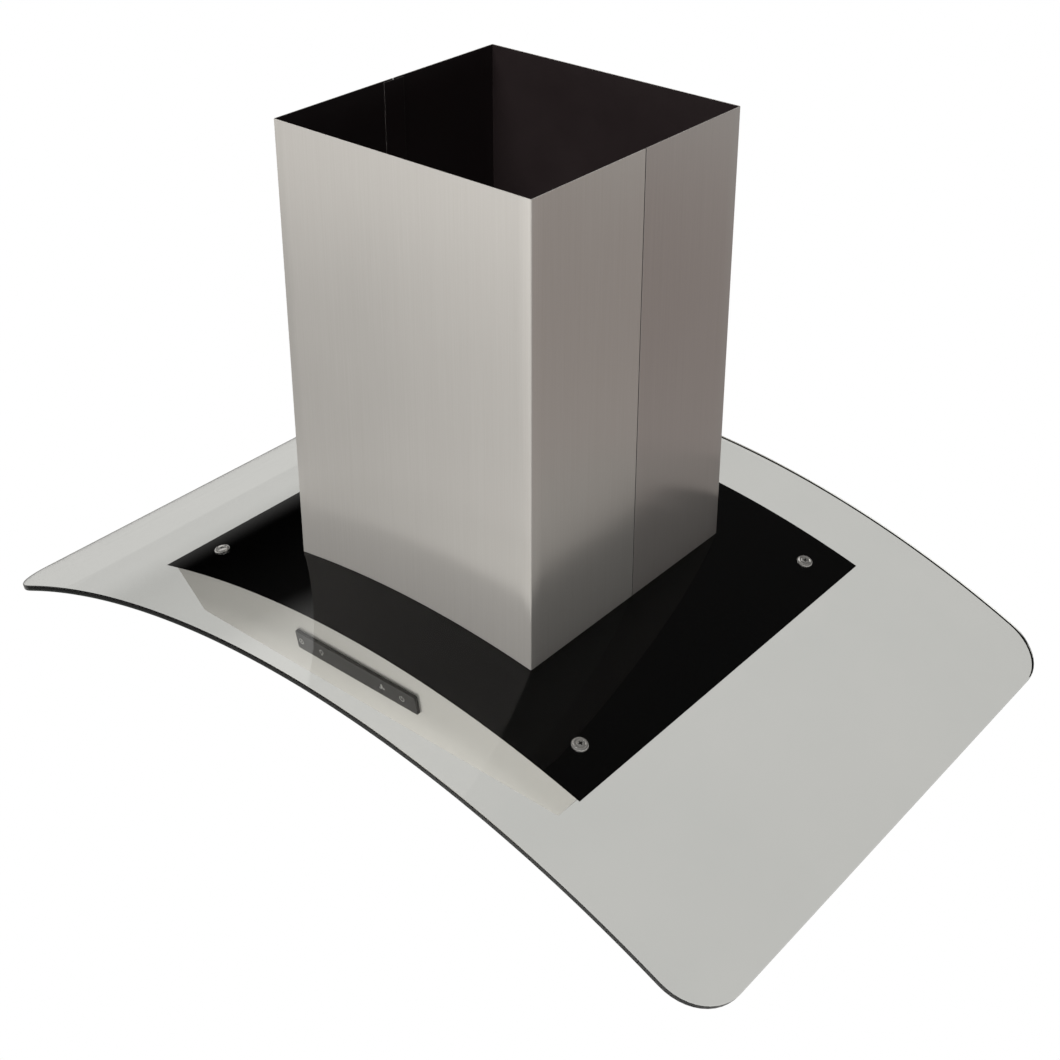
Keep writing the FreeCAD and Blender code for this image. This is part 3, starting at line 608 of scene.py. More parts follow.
@dataclass
class Piece:
    """A mesh being built, and what it becomes when it is done."""

    name: str
    body: str = "hood"
    finishes: tuple[Finish, ...] = (CHIMNEY_SKIN,)
    stands_for: tuple[str, ...] = ()
    sharp_over: float = 35.0
    mesh: bmesh.types.BMesh = field(default_factory=bmesh.new)

    def face(self, corners: Sequence[bmesh.types.BMVert], finish: int = 0) -> None:
        """Adds one face with the finish of that place in the list."""
        self.mesh.faces.new(corners).material_index = finish

    def ring(self, points: Iterable[Vector]) -> list[bmesh.types.BMVert]:
        """Adds a row of corners."""
        return [self.mesh.verts.new(point) for point in points]

    def skin(self, first: Sequence, second: Sequence, finish: int = 0, closed: bool = True) -> None:
        """Joins two rows of corners with faces.

        Args:
            first: one row.
            second: the other, as long.
            finish: place in the list of finishes.
            closed: whether the rows run all the way round.
        """
        count = len(first)
        for i in range(count if closed else count - 1):
            j = (i + 1) % count
            self.face((first[i], first[j], second[j], second[i]), finish)

    def prism(self, outline: Sequence[Point2], low: float, high: float, place: Matrix, finish: int = 0) -> None:
        """A flat plate of one outline.

        Args:
            outline: its corners, in order.
            low: height of its underside.
            high: height of its top.
            place: where it goes.
            finish: place in the list of finishes.
        """
        under = self.ring(place @ Vector((x, y, low)) for x, y in outline)
        top = self.ring(place @ Vector((x, y, high)) for x, y in outline)
        self.skin(under, top, finish)
        self.face(list(reversed(under)), finish)
        self.face(top, finish)

    def lathe(self, profile: Sequence[Point2], place: Matrix, turns: int = 48, finish: int = 0,
              closed: bool = True) -> None:
        """Turns a profile of (radius, height) points about the place's Z axis.

        Args:
            profile: the points; one of radius 0 is a tip.
            place: where it goes.
            turns: faces all the way round.
            finish: place in the list of finishes.
            closed: whether the last point joins the first.
        """
        rings = [self.lathe_ring(radius, height, place, turns) for radius, height in profile]
        pairs = list(zip(rings, rings[1:]))
        if closed:
            pairs.append((rings[-1], rings[0]))
        for first, second in pairs:
            self.join_rings(first, second, finish)

    def lathe_ring(self, radius: float, height: float, place: Matrix, turns: int) -> list:
        """One ring of a turned shape, or its tip.

        Args:
            radius: its radius; 0 for a tip.
            height: its height.
            place: where it goes.
            turns: corners all the way round.

        Returns:
            Its corners.
        """
        if radius <= 0.0:
            return self.ring([place @ Vector((0.0, 0.0, height))])
        steps = (2.0 * math.pi * i / turns for i in range(turns))
        return self.ring(place @ Vector((radius * math.cos(a), radius * math.sin(a), height)) for a in steps)

    def join_rings(self, first: list, second: list, finish: int) -> None:
        """Joins two rings, or a ring and a tip.

        Args:
            first: one ring or tip.
            second: the other.
            finish: place in the list of finishes.
        """
        if len(first) == 1 and len(second) == 1:
            return
        if len(first) == len(second):
            self.skin(first, second, finish)
            return
        tip, ring = (first[0], second) if len(first) == 1 else (second[0], first)
        for i, corner in enumerate(ring):
            self.face((tip, corner, ring[(i + 1) % len(ring)]), finish)

    def data(self) -> bpy.types.Mesh:
        """Turns what was built into mesh data, its faces outward.

        Returns:
            The mesh data.
        """
        bmesh.ops.recalc_face_normals(self.mesh, faces=self.mesh.faces)
        data = bpy.data.meshes.new(self.name)
        self.mesh.to_mesh(data)
        self.mesh.free()
        return data

    def done(self, *modifiers: Callable[[Thing], None]) -> Thing:
        """Turns the mesh into a dressed object on its body.

        Args:
            modifiers: calls that each add a modifier.

        Returns:
            The object.
        """
        data = self.data()
        data.shade_smooth()
        data.set_sharp_from_angle(angle=math.radians(self.sharp_over))
        thing = put(self.name, data)
        for finish in self.finishes:
            data.materials.append(finish.material())
        for add in modifiers:
            add(thing)
        if self.stands_for:
            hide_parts(*self.stands_for)
        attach(thing, self.body)
        LOG.info("piece %s on %s", self.name, self.body)
        return thing


def eased_edges(width: float, segments: int = 2, over: float = 40.0) -> Callable[[Thing], None]:
    """A call that rounds a piece's edges.

    Args:
        width: how far the rounding reaches from the edge.
        segments: faces across it.
        over: the least turn, in degrees, that counts as an edge.

    Returns:
        The call.
    """
    def add(thing: Thing) -> None:
        """Adds the modifier."""
        rounding = thing.modifiers.new("eased edges", "BEVEL")
        rounding.width = width
        rounding.segments = segments
        rounding.limit_method = "ANGLE"
        rounding.angle_limit = math.radians(over)
        rounding.harden_normals = True
    return add


def even_shading(thing: Thing) -> None:
    """Lets large faces set the shading, so that flats look flat."""
    weighing = thing.modifiers.new("even shading", "WEIGHTED_NORMAL")
    weighing.keep_sharp = True


def joined_corners(thing: Thing) -> None:
    """Joins corners that lie in one place, and makes each flat one face.

    Args:
        thing: the part.
    """
    weld = thing.modifiers.new("joined corners", "WELD")
    weld.merge_threshold = 0.000002
    whole = thing.modifiers.new("whole flats", "DECIMATE")
    whole.decimate_type = "DISSOLVE"
    whole.angle_limit = math.radians(0.3)


def rounded_outline(width: float, height: float, corner: float, steps: int = 6) -> list[Point2]:
    """A rectangle with rounded corners, anticlockwise.

    Args:
        width: its whole width.
        height: its whole height.
        corner: radius of the corners.
        steps: runs in each corner.

    Returns:
        Its points.
    """
    points = []
    for quarter, (sx, sy) in enumerate(((1, 1), (-1, 1), (-1, -1), (1, -1))):
        middle = (sx * (0.5 * width - corner), sy * (0.5 * height - corner))
        for i in range(steps + 1):
            turn = 0.5 * math.pi * (quarter + i / steps)
            points.append((middle[0] + corner * math.cos(turn), middle[1] + corner * math.sin(turn)))
    return points


# ---- the arch that everything on the canopy follows ----
@dataclass(frozen=True)
class Arch:
    """The canopy's arch: a cylinder lying along Y, bulging upward."""

    radius: float = 0.997
    crown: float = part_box("glass_canopy")[1].z

    def point(self, along: float, y: float, depth: float) -> Vector:
        """A point on the arch.

        Args:
            along: distance from the crown, measured round the top.
            y: place along Y.
            depth: how far under the top.

        Returns:
            The point.
        """
        turn = along / self.radius
        reach = self.radius - depth
        return Vector((reach * math.sin(turn), y, self.crown - self.radius + reach * math.cos(turn)))

    def height(self, x: float, clear: float = 0.0) -> float:
        """Height of the arch over a place in plan, with a clearance above it."""
        return self.crown - self.radius + math.sqrt((self.radius + clear) ** 2 - x * x)

    def seat(self, x: float, y: float) -> Matrix:
        """A place on the arch, its Z axis square to the glass.

        Args:
            x: place along X.
            y: place along Y.

        Returns:
            The place.
        """
        turn = math.asin(x / self.radius)
        spot = self.point(turn * self.radius, y, 0.0)
        return Matrix.Translation(spot) @ Matrix.Rotation(turn, 4, "Y")


ARCH = Arch()
OPENING = (0.138, 0.136)


# ---- glass canopy ----
@dataclass
class GlassCanopy:
    """The bent glass, with rounded corners, ground edges and its square opening."""

    half_length: float = 0.46697
    half_depth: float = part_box("glass_canopy")[1].y
    thickness: float = 0.006
    corner: float = 0.048
    opening: Point2 = OPENING
    arris: float = 0.0011
    polished_share: float = 0.66
    polished_bands: int = 4
    field: Point2 = (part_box("black_glass_print")[1].x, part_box("black_glass_print")[1].y)
    field_columns: int = 10
    wing_columns: int = 12
    middle_columns: int = 22
    corner_columns: int = 12
    field_rows: int = 3
    rim_rows: int = 2
    middle_rows: int = 10

    @property
    def edge_rows(self) -> int:
        """Rows between the opening and an edge."""
        return self.field_rows + self.rim_rows

    @property
    def side_columns(self) -> int:
        """Columns between the opening and an end, corners included."""
        return self.field_columns + self.wing_columns + self.corner_columns

    @staticmethod
    def steps(start: float, end: float, count: int) -> list[float]:
        """Evenly spaced values after a start, up to an end."""
        return [start + (end - start) * (i + 1) / count for i in range(count)]

    def columns(self) -> list[tuple[float, float]]:
        """Where each column of the flat sheet stands.

        Returns:
            Pairs of (distance from the middle, turn round the corner in radians or 0).
        """
        straight = self.half_length - self.corner
        hole = self.opening[0] + self.arris
        rim = ARCH.radius * math.asin(self.field[0] / (ARCH.radius - self.thickness))
        half = [hole] + self.steps(hole, rim, self.field_columns) + self.steps(rim, straight, self.wing_columns)
        turns = [0.5 * math.pi * (i + 1) / self.corner_columns for i in range(self.corner_columns)]
        right = [(u, 0.0) for u in half] + [(straight, turn) for turn in turns]
        middle = [(-hole + 2 * hole * i / self.middle_columns, 0.0) for i in range(1, self.middle_columns)]
        left = [(-u, -turn) for u, turn in reversed(right)]
        return left + middle + right

    def spot(self, column: tuple[float, float], inset: float) -> Point2:
        """Where a column meets the outline drawn in by an inset: (distance, half depth there).

        Args:
            column: the column's (distance, turn).
            inset: how far the outline is drawn in.

        Returns:
            The place.
        """
        base, turn = column
        if not turn:
            return base, self.half_depth - inset
        reach = self.corner - inset
        return base + reach * math.sin(turn), self.half_depth - self.corner + reach * math.cos(turn)

    def rows(self, half: float) -> list[float]:
        """Places along Y of a column's corners, from front to back.

        Args:
            half: the column's half depth.

        Returns:
            The places.
        """
        hole = self.opening[1] + self.arris
        outer = [hole] + self.steps(hole, self.field[1], self.field_rows)
        outer += self.steps(self.field[1], half, self.rim_rows)
        inner = [-hole + 2 * hole * i / self.middle_rows for i in range(1, self.middle_rows)]
        return [-y for y in reversed(outer)] + inner + outer

    def in_opening(self, i: int, j: int) -> bool:
        """Whether the cell that starts at a column and row lies in the square opening."""
        in_x = self.side_columns <= i < self.side_columns + self.middle_columns
        return in_x and self.edge_rows <= j < self.edge_rows + self.middle_rows

    def in_field(self, i: int, j: int) -> bool:
        """Whether that cell lies over the black field.

        Args:
            i: the column.
            j: the row.

        Returns:
            Whether it does.
        """
        plain = self.wing_columns + self.corner_columns
        across = 2 * self.field_columns + self.middle_columns
        along = 2 * self.field_rows + self.middle_rows
        return plain <= i < plain + across and self.rim_rows <= j < self.rim_rows + along

    def edge_profile(self) -> list[Point2]:
        """The edge's section between the two faces, each point as (outward reach, depth).

        Returns:
            The points.
        """
        steps = [math.radians(30.0 * i) for i in (1, 2, 3)]
        upper = [(self.arris * math.sin(a), self.arris * (1 - math.cos(a))) for a in steps]
        lower = [(reach, self.thickness - depth) for reach, depth in reversed(upper)]
        return upper + [(self.arris, self.polished_share * self.thickness)] + lower

    @staticmethod
    def loop(i0: int, i1: int, j0: int, j1: int) -> list[tuple[int, int, int, int]]:
        """Walks round a block of columns and rows.

        Args:
            i0: its first column.
            i1: its last column.
            j0: its first row.
            j1: its last row.

        Returns:
            Its corners in order, each as (column, row, side along X, side along Y).
        """
        walk = [(i, j0, 0, -1) for i in range(i0, i1 + 1)]
        walk += [(i1, j, 1, 0) for j in range(j0 + 1, j1)]
        walk += [(i, j1, 0, 1) for i in range(i1, i0 - 1, -1)]
        return walk + [(i0, j, -1, 0) for j in range(j1 - 1, j0, -1)]

    def outlines(self, turns: list[float], last_row: int) -> tuple[list, list]:
        """Finds the glass's two outlines.

        Args:
            turns: each column's turn round a corner.
            last_row: number of the last row.

        Returns:
            The outer one and the opening's, each a list of (column, row, direction off the glass).
        """
        outer = [(i, j, Vector((math.sin(turns[i]), sy * math.cos(turns[i])) if sy else (sx, 0)))
                 for i, j, sx, sy in self.loop(0, len(turns) - 1, 0, last_row)]
        i0, j0 = self.side_columns, self.edge_rows
        i1, j1 = i0 + self.middle_columns, j0 + self.middle_rows
        mitres = {(i0, j0): (1, 1), (i1, j0): (-1, 1), (i1, j1): (-1, -1), (i0, j1): (1, -1)}
        inner = [(i, j, Vector(mitres.get((i, j), (-sx, -sy)))) for i, j, sx, sy in self.loop(i0, i1, j0, j1)]
        return outer, inner

    def build(self) -> Thing:
        """Builds the glass.

        Returns:
            The piece.
        """
        piece = Piece("canopy_glass", finishes=(CLEAR_GLASS, GLASS_EDGE_PAINTED_DARK, ENAMEL), stands_for=("glass_canopy",),
                      sharp_over=50.0)
        columns = self.columns()
        flat = {}
        for i, column in enumerate(columns):
            along, half = self.spot(column, self.arris)
            for j, y in enumerate(self.rows(half)):
                flat[i, j] = (along, y)
        last_row = 2 * self.edge_rows + self.middle_rows
        faces = {depth: self.sheet(piece, flat, len(columns) - 1, last_row, depth)
                 for depth in (0.0, self.thickness)}
        for walk in self.outlines([turn for _, turn in columns], last_row):
            self.edge(piece, flat, faces, walk)
        return piece.done(even_shading)

    def sheet(self, piece: Piece, flat: dict, last_column: int, last_row: int, depth: float) -> dict:
        """One face of the glass.

        Args:
            piece: what it is built in.
            flat: flat places by (column, row).
            last_column: number of the last column.
            last_row: number of the last row.
            depth: how deep it lies under the top.

        Returns:
            Its corners by (column, row).
        """
        corners = {}
        for i in range(last_column):
            for j in range(last_row):
                if self.in_opening(i, j):
                    continue
                cell = ((i, j), (i + 1, j), (i + 1, j + 1), (i, j + 1))
                for key in cell:
                    if key not in corners:
                        corners[key] = piece.mesh.verts.new(ARCH.point(*flat[key], depth))
                piece.face([corners[key] for key in cell], 2 if depth and self.in_field(i, j) else 0)
        return corners

    def edge(self, piece: Piece, flat: dict, faces: dict, walk: list) -> None:
        """The edge between the two faces, round one walk: polished above, ground below and coloured near-black
        there as painted shade.

        Args:
            piece: what it is built in.
            flat: flat places by (column, row).
            faces: both faces' corners, by depth.
            walk: the outline.
        """
        rings = [[faces[0.0][i, j] for i, j, _ in walk]]
        for reach, depth in self.edge_profile():
            spots = ((Vector(flat[i, j]) + reach * way) for i, j, way in walk)
            rings.append(piece.ring(ARCH.point(spot.x, spot.y, depth) for spot in spots))
        rings.append([faces[self.thickness][i, j] for i, j, _ in walk])
        for place, (first, second) in enumerate(zip(rings, rings[1:])):
            piece.skin(first, second, 0 if place < self.polished_bands else 1)


@dataclass
class EnamelField:
    """The black field fired under the middle of the glass."""

    half_x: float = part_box("black_glass_print")[1].x
    half_y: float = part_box("black_glass_print")[1].y
    opening: Point2 = OPENING
    depth: float = 0.0062
    thickness: float = 0.0003
    slack: float = 0.001
    columns: int = 60
    rows: int = 16

    def lines(self, half: float, hole: float, count: int) -> list[float]:
        """Grid lines from one side to the other that pass through the opening's sides.

        Args:
            half: half the field's width.
            hole: half the opening's width.
            count: cells wanted.

        Returns:
            The lines' places.
        """
        wing = max(2, round(count * (half - hole) / (2 * half)))
        middle = max(2, count - 2 * wing)
        outer = [hole + (half - hole) * i / wing for i in range(wing + 1)]
        inner = [-hole + 2 * hole * i / middle for i in range(1, middle)]
        return [-v for v in reversed(outer)] + inner + outer

    def build(self) -> Thing:
        """Builds the field as a thin curved sheet.

        Returns:
            The piece.
        """
        piece = Piece("enamel_field", finishes=(ENAMEL,), stands_for=("black_glass_print",))
        reach = ARCH.radius - self.depth
        flat = self.lines(self.half_x, self.opening[0], self.columns)
        xs = [ARCH.radius * math.asin(x / reach) for x in flat]
        ys = self.lines(self.half_y, self.opening[1], self.rows)
        holes = [half - self.slack for half in self.opening]
        layers = [{(i, j): piece.mesh.verts.new(ARCH.point(x, y, depth))
                   for i, x in enumerate(xs) for j, y in enumerate(ys)}
                  for depth in (self.depth, self.depth + self.thickness)]
        borders = {}
        for i in range(len(xs) - 1):
            for j in range(len(ys) - 1):
                middle = (0.5 * (xs[i] + xs[i + 1]), 0.5 * (ys[j] + ys[j + 1]))
                if abs(middle[0]) < holes[0] and abs(middle[1]) < holes[1]:
                    continue
                cell = [(i, j), (i + 1, j), (i + 1, j + 1), (i, j + 1)]
                for layer in layers:
                    piece.face([layer[key] for key in cell])
                for start, end in zip(cell, cell[1:] + cell[:1]):
                    borders[start, end] = borders.get((start, end), 0) + 1
        for start, end in borders:
            if (end, start) not in borders:
                piece.face([layers[0][start], layers[0][end], layers[1][end], layers[1][start]])
        loose = [corner for corner in piece.mesh.verts if not corner.link_faces]
        bmesh.ops.delete(piece.mesh, geom=loose, context="VERTS")
        return piece.done()


@dataclass
class CanopyScrews:
    """Four cup washers and cross-recess screws that clamp the glass."""

    place: Point2 = (0.232, 0.181)
    cup_radius: float = 0.008
    cup_height: float = 0.0026
    cup_crest: float = 0.0058
    head_radius: float = 0.0042
    shank_radius: float = 0.002
    shank_length: float = 0.012
    recess_reach: float = 0.0028
    recess_width: float = 0.0014
    recess_depth: float = 0.0016
    recess_taper: float = 0.35
    painted_shade_below: float = 0.9
    first_turn: float = 20.0
    turn_step: float = 31.0

    def cup_profile(self) -> list[Point2]:
        """The washer's section: a domed ring that dips to the screw's seat.

        Returns:
            The points.
        """
        outer, top, inner = self.cup_radius, self.cup_height, self.head_radius
        rise = [(outer - (outer - self.cup_crest) * (1 - math.cos(a)), top * math.sin(a))
                for a in (math.radians(15 * i) for i in range(1, 7))]
        dip = [(0.0052, top * 0.99), (inner + 0.0006, top * 0.93), (inner + 0.0001, top * 0.8),
               (0.0026, top * 0.25), (0.0023, 0.00002)]
        return [(outer, 0.00001)] + rise + dip

    def head_profile(self) -> list[Point2]:
        """The screw head's section, slightly domed.

        Returns:
            The points.
        """
        r = self.head_radius
        dome = self.cup_height
        rim = [(0.0021, dome * 0.25), (r - 0.0001, dome * 0.84), (r, dome * 0.88), (r - 0.0002, dome * 0.92)]
        crown = [(r * share, dome * (0.92 + 0.08 * (1 - share * share))) for share in (0.8, 0.6, 0.4, 0.2)]
        return [(0.0, dome * 0.25)] + rim + crown + [(0.0, dome)]

    def recess(self) -> Thing:
        """A tapered cross, hidden, that cuts the driver's recess.

        Returns:
            The cutter.
        """
        piece = Piece("driver_recess", finishes=(SCREW_STEEL,))
        ends = ((self.recess_taper * self.recess_reach, self.recess_taper * self.recess_width,
                 self.cup_height - self.recess_depth),
                (self.recess_reach, 0.5 * self.recess_width, self.cup_height + 0.0004))
        for quarter in (0, 1):
            turn = Matrix.Rotation(0.5 * math.pi * quarter, 4, "Z")
            rings = []
            for x, y, z in ends:
                spots = ((-x, -y), (x, -y), (x, y), (-x, y))
                rings.append(piece.ring(turn @ Vector((a, b + 0.00001 * quarter, z)) for a, b in spots))
            piece.skin(rings[0], rings[1])
            piece.face(rings[0])
            piece.face(rings[1])
        return put(piece.name, piece.data())

    def recessed_head(self) -> bpy.types.Mesh:
        """The screw's head with its cross recess cut out and its deep faces given the near-black painted shade,
        at the origin.

        Returns:
            The head's mesh.
        """
        head = Piece("screw_head")
        head.lathe(self.head_profile(), Matrix.Identity(4), turns=40, closed=False)
        thing = put(head.name, head.data())
        cutter = self.recess()
        cut = thing.modifiers.new("recess", "BOOLEAN")
        cut.operation = "DIFFERENCE"
        cut.solver = "EXACT"
        cut.use_self = True
        cut.object = cutter
        graph = bpy.context.evaluated_depsgraph_get()
        result = bpy.data.meshes.new_from_object(thing.evaluated_get(graph))
        # Faces deep in the recess take the near-black painted shade.
        for flat in result.polygons:
            low = flat.center.z < self.painted_shade_below * self.cup_height
            flat.material_index = 1 if low and flat.center.xy.length < self.recess_reach else 0
        bpy.data.objects.remove(thing)
        bpy.data.objects.remove(cutter)
        return result

    def build(self) -> list[Thing]:
        """Builds the washers as one piece and the screws as another.

        Returns:
            The two pieces.
        """
        washers = Piece("canopy_cup_rings", finishes=(SCREW_STEEL,), stands_for=("canopy_cup_washers",))
        screws = Piece("canopy_screw_heads", finishes=(SCREW_STEEL, RECESS_PAINTED_SHADE),
                       stands_for=("canopy_screws",))
        head = self.recessed_head()
        for index, (side, end) in enumerate((side, end) for side in Side for end in End):
            seat = ARCH.seat(side.sign * self.place[0], end.sign * self.place[1])
            washers.lathe(self.cup_profile(), seat, turns=56)
            placed = head.copy()
            turn = math.radians(self.first_turn + self.turn_step * index)
            placed.transform(seat @ Matrix.Rotation(turn, 4, "Z"))
            screws.mesh.from_mesh(placed)
            shank = [(0.0, 0.0), (self.shank_radius, 0.0), (self.shank_radius, -self.shank_length),
                     (0.0, -self.shank_length)]
            screws.lathe(shank, seat, turns=24, closed=False)
        return [washers.done(), screws.done()]


# ---- chimneys ----
@dataclass
class ChimneyShell:
    """One folded half of a chimney: a face, two folds and two side flanges."""

    node: str
    body: str
    end: End
    width: float
    depth: float
    low: float
    top: float
    foot_on_arch: bool
    skin: float = 0.0008
    fold: float = 0.0012
    seam: float = 0.004
    seam_gap: float = 0.0011
    foot_gap: float = 0.0002
    fold_steps: int = 5
    face_steps: int = 24
    flange_steps: int = 10

    def plan(self, inset: float) -> list[Point2]:
        """Draws the sheet's line in plan, from the left seam round to the right one.

        Args:
            inset: how far it is drawn in from the outer side.

        Returns:
            Its points.
        """
        half_x, half_y = 0.5 * self.width - inset, 0.5 * self.depth - inset
        bend = self.fold - inset
        way = self.end.sign
        seam_y = self.seam + way * 0.5 * self.seam_gap
        corner_x, corner_y = half_x - bend, way * (half_y - bend)
        flange = [(-half_x, seam_y + (corner_y - seam_y) * i / self.flange_steps)
                  for i in range(self.flange_steps)]
        turns = [0.5 * math.pi * i / self.fold_steps for i in range(self.fold_steps + 1)]
        left = [(-corner_x - bend * math.cos(a), corner_y + way * bend * math.sin(a)) for a in turns]
        face = [(-corner_x + 2 * corner_x * i / self.face_steps, way * half_y)
                for i in range(1, self.face_steps)]
        half = flange + left
        return half + face + [(-x, y) for x, y in reversed(half)]

    def rings(self, piece: Piece, inset: float) -> tuple[list, list]:
        """The bottom and top rows of one side of the sheet.

        Args:
            piece: what it is built in.
            inset: how far it is drawn in from the outer side.

        Returns:
            The two rows.
        """
        line = self.plan(inset)
        foot = [ARCH.height(x, self.foot_gap) if self.foot_on_arch else self.low for x, _ in line]
        under = piece.ring(Vector((x, y, z)) for (x, y), z in zip(line, foot))
        return under, piece.ring(Vector((x, y, self.top)) for x, y in line)

    def build(self) -> Thing:
        """Builds the shell, its outer side brushed and its inner side near-black, a painted shade for the dark
        flue.

        Returns:
            The piece.
        """
        # The back shells take the darker painted-shade copy of the steel.
        skin = CHIMNEY_SKIN if self.end is End.FRONT else CHIMNEY_BACK_SHADED_SKIN
        piece = Piece(self.node + "_shell", self.body, (skin, SHADED_INSIDE_PAINT), (self.node,))
        outer_foot, outer_top = self.rings(piece, 0.0)
        inner_foot, inner_top = self.rings(piece, self.skin)
        piece.skin(outer_foot, outer_top, 0, closed=False)
        piece.skin(inner_foot, inner_top, 1, closed=False)
        piece.skin(outer_top, inner_top, 0, closed=False)
        piece.skin(outer_foot, inner_foot, 0, closed=False)
        for place in (0, -1):
            piece.face((outer_foot[place], outer_top[place], inner_top[place], inner_foot[place]), 1)
        return piece.done(eased_edges(0.00012, 1, 60.0))


@dataclass
class Chimneys:
    """The fixed chimney on the glass, and the one that slides up out of it."""

    outer: tuple[float, float] = (0.2963, 0.2926)
    nested: tuple[float, float] = (0.29, 0.2866)
    nested_low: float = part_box("upper_chimney_front")[0].z
    nested_top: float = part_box("upper_chimney_front")[1].z
    top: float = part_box("chimney_front")[1].z
    foot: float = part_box("chimney_front")[0].z
    tongue_reach: Point2 = (-0.009, 0.017)
    tongue_inset: float = 0.0009
    tongue_thickness: float = 0.0006
    strap_gap: float = 0.0005
    top_gap: float = 0.0015

    def build(self) -> list[Thing]:
        """Builds the four shells.

        Returns:
            The pieces.
        """
        shells = []
        for end in End:
            shells.append(ChimneyShell("chimney_" + end.word, "hood", end, *self.outer, self.foot, self.top,
                                       True).build())
            shells.append(ChimneyShell("upper_chimney_" + end.word, "upper_chimney", end, *self.nested,
                                       self.nested_low, self.nested_top, False).build())
        return shells + [self.tongues()]

    def tongues(self) -> Thing:
        """Builds the two strips that close the seams from behind, above the riveted straps.

        Returns:
            The piece.
        """
        # The tongues wear the near-black painted shade of the chimney's inner side.
        piece = Piece("chimney_seam_tongues", finishes=(SHADED_INSIDE_PAINT,))
        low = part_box("chimney_seam_straps")[1].z + self.strap_gap
        outer = 0.5 * self.outer[0] - self.tongue_inset
        inner = outer - self.tongue_thickness
        front, back = self.tongue_reach
        corners = ((outer, front), (outer, back), (inner, back), (inner, front))
        for side in Side:
            section = [(side.sign * x, y) for x, y in corners]
            piece.prism(section, low, self.top - self.top_gap, Matrix.Identity(4))
        return piece.done()


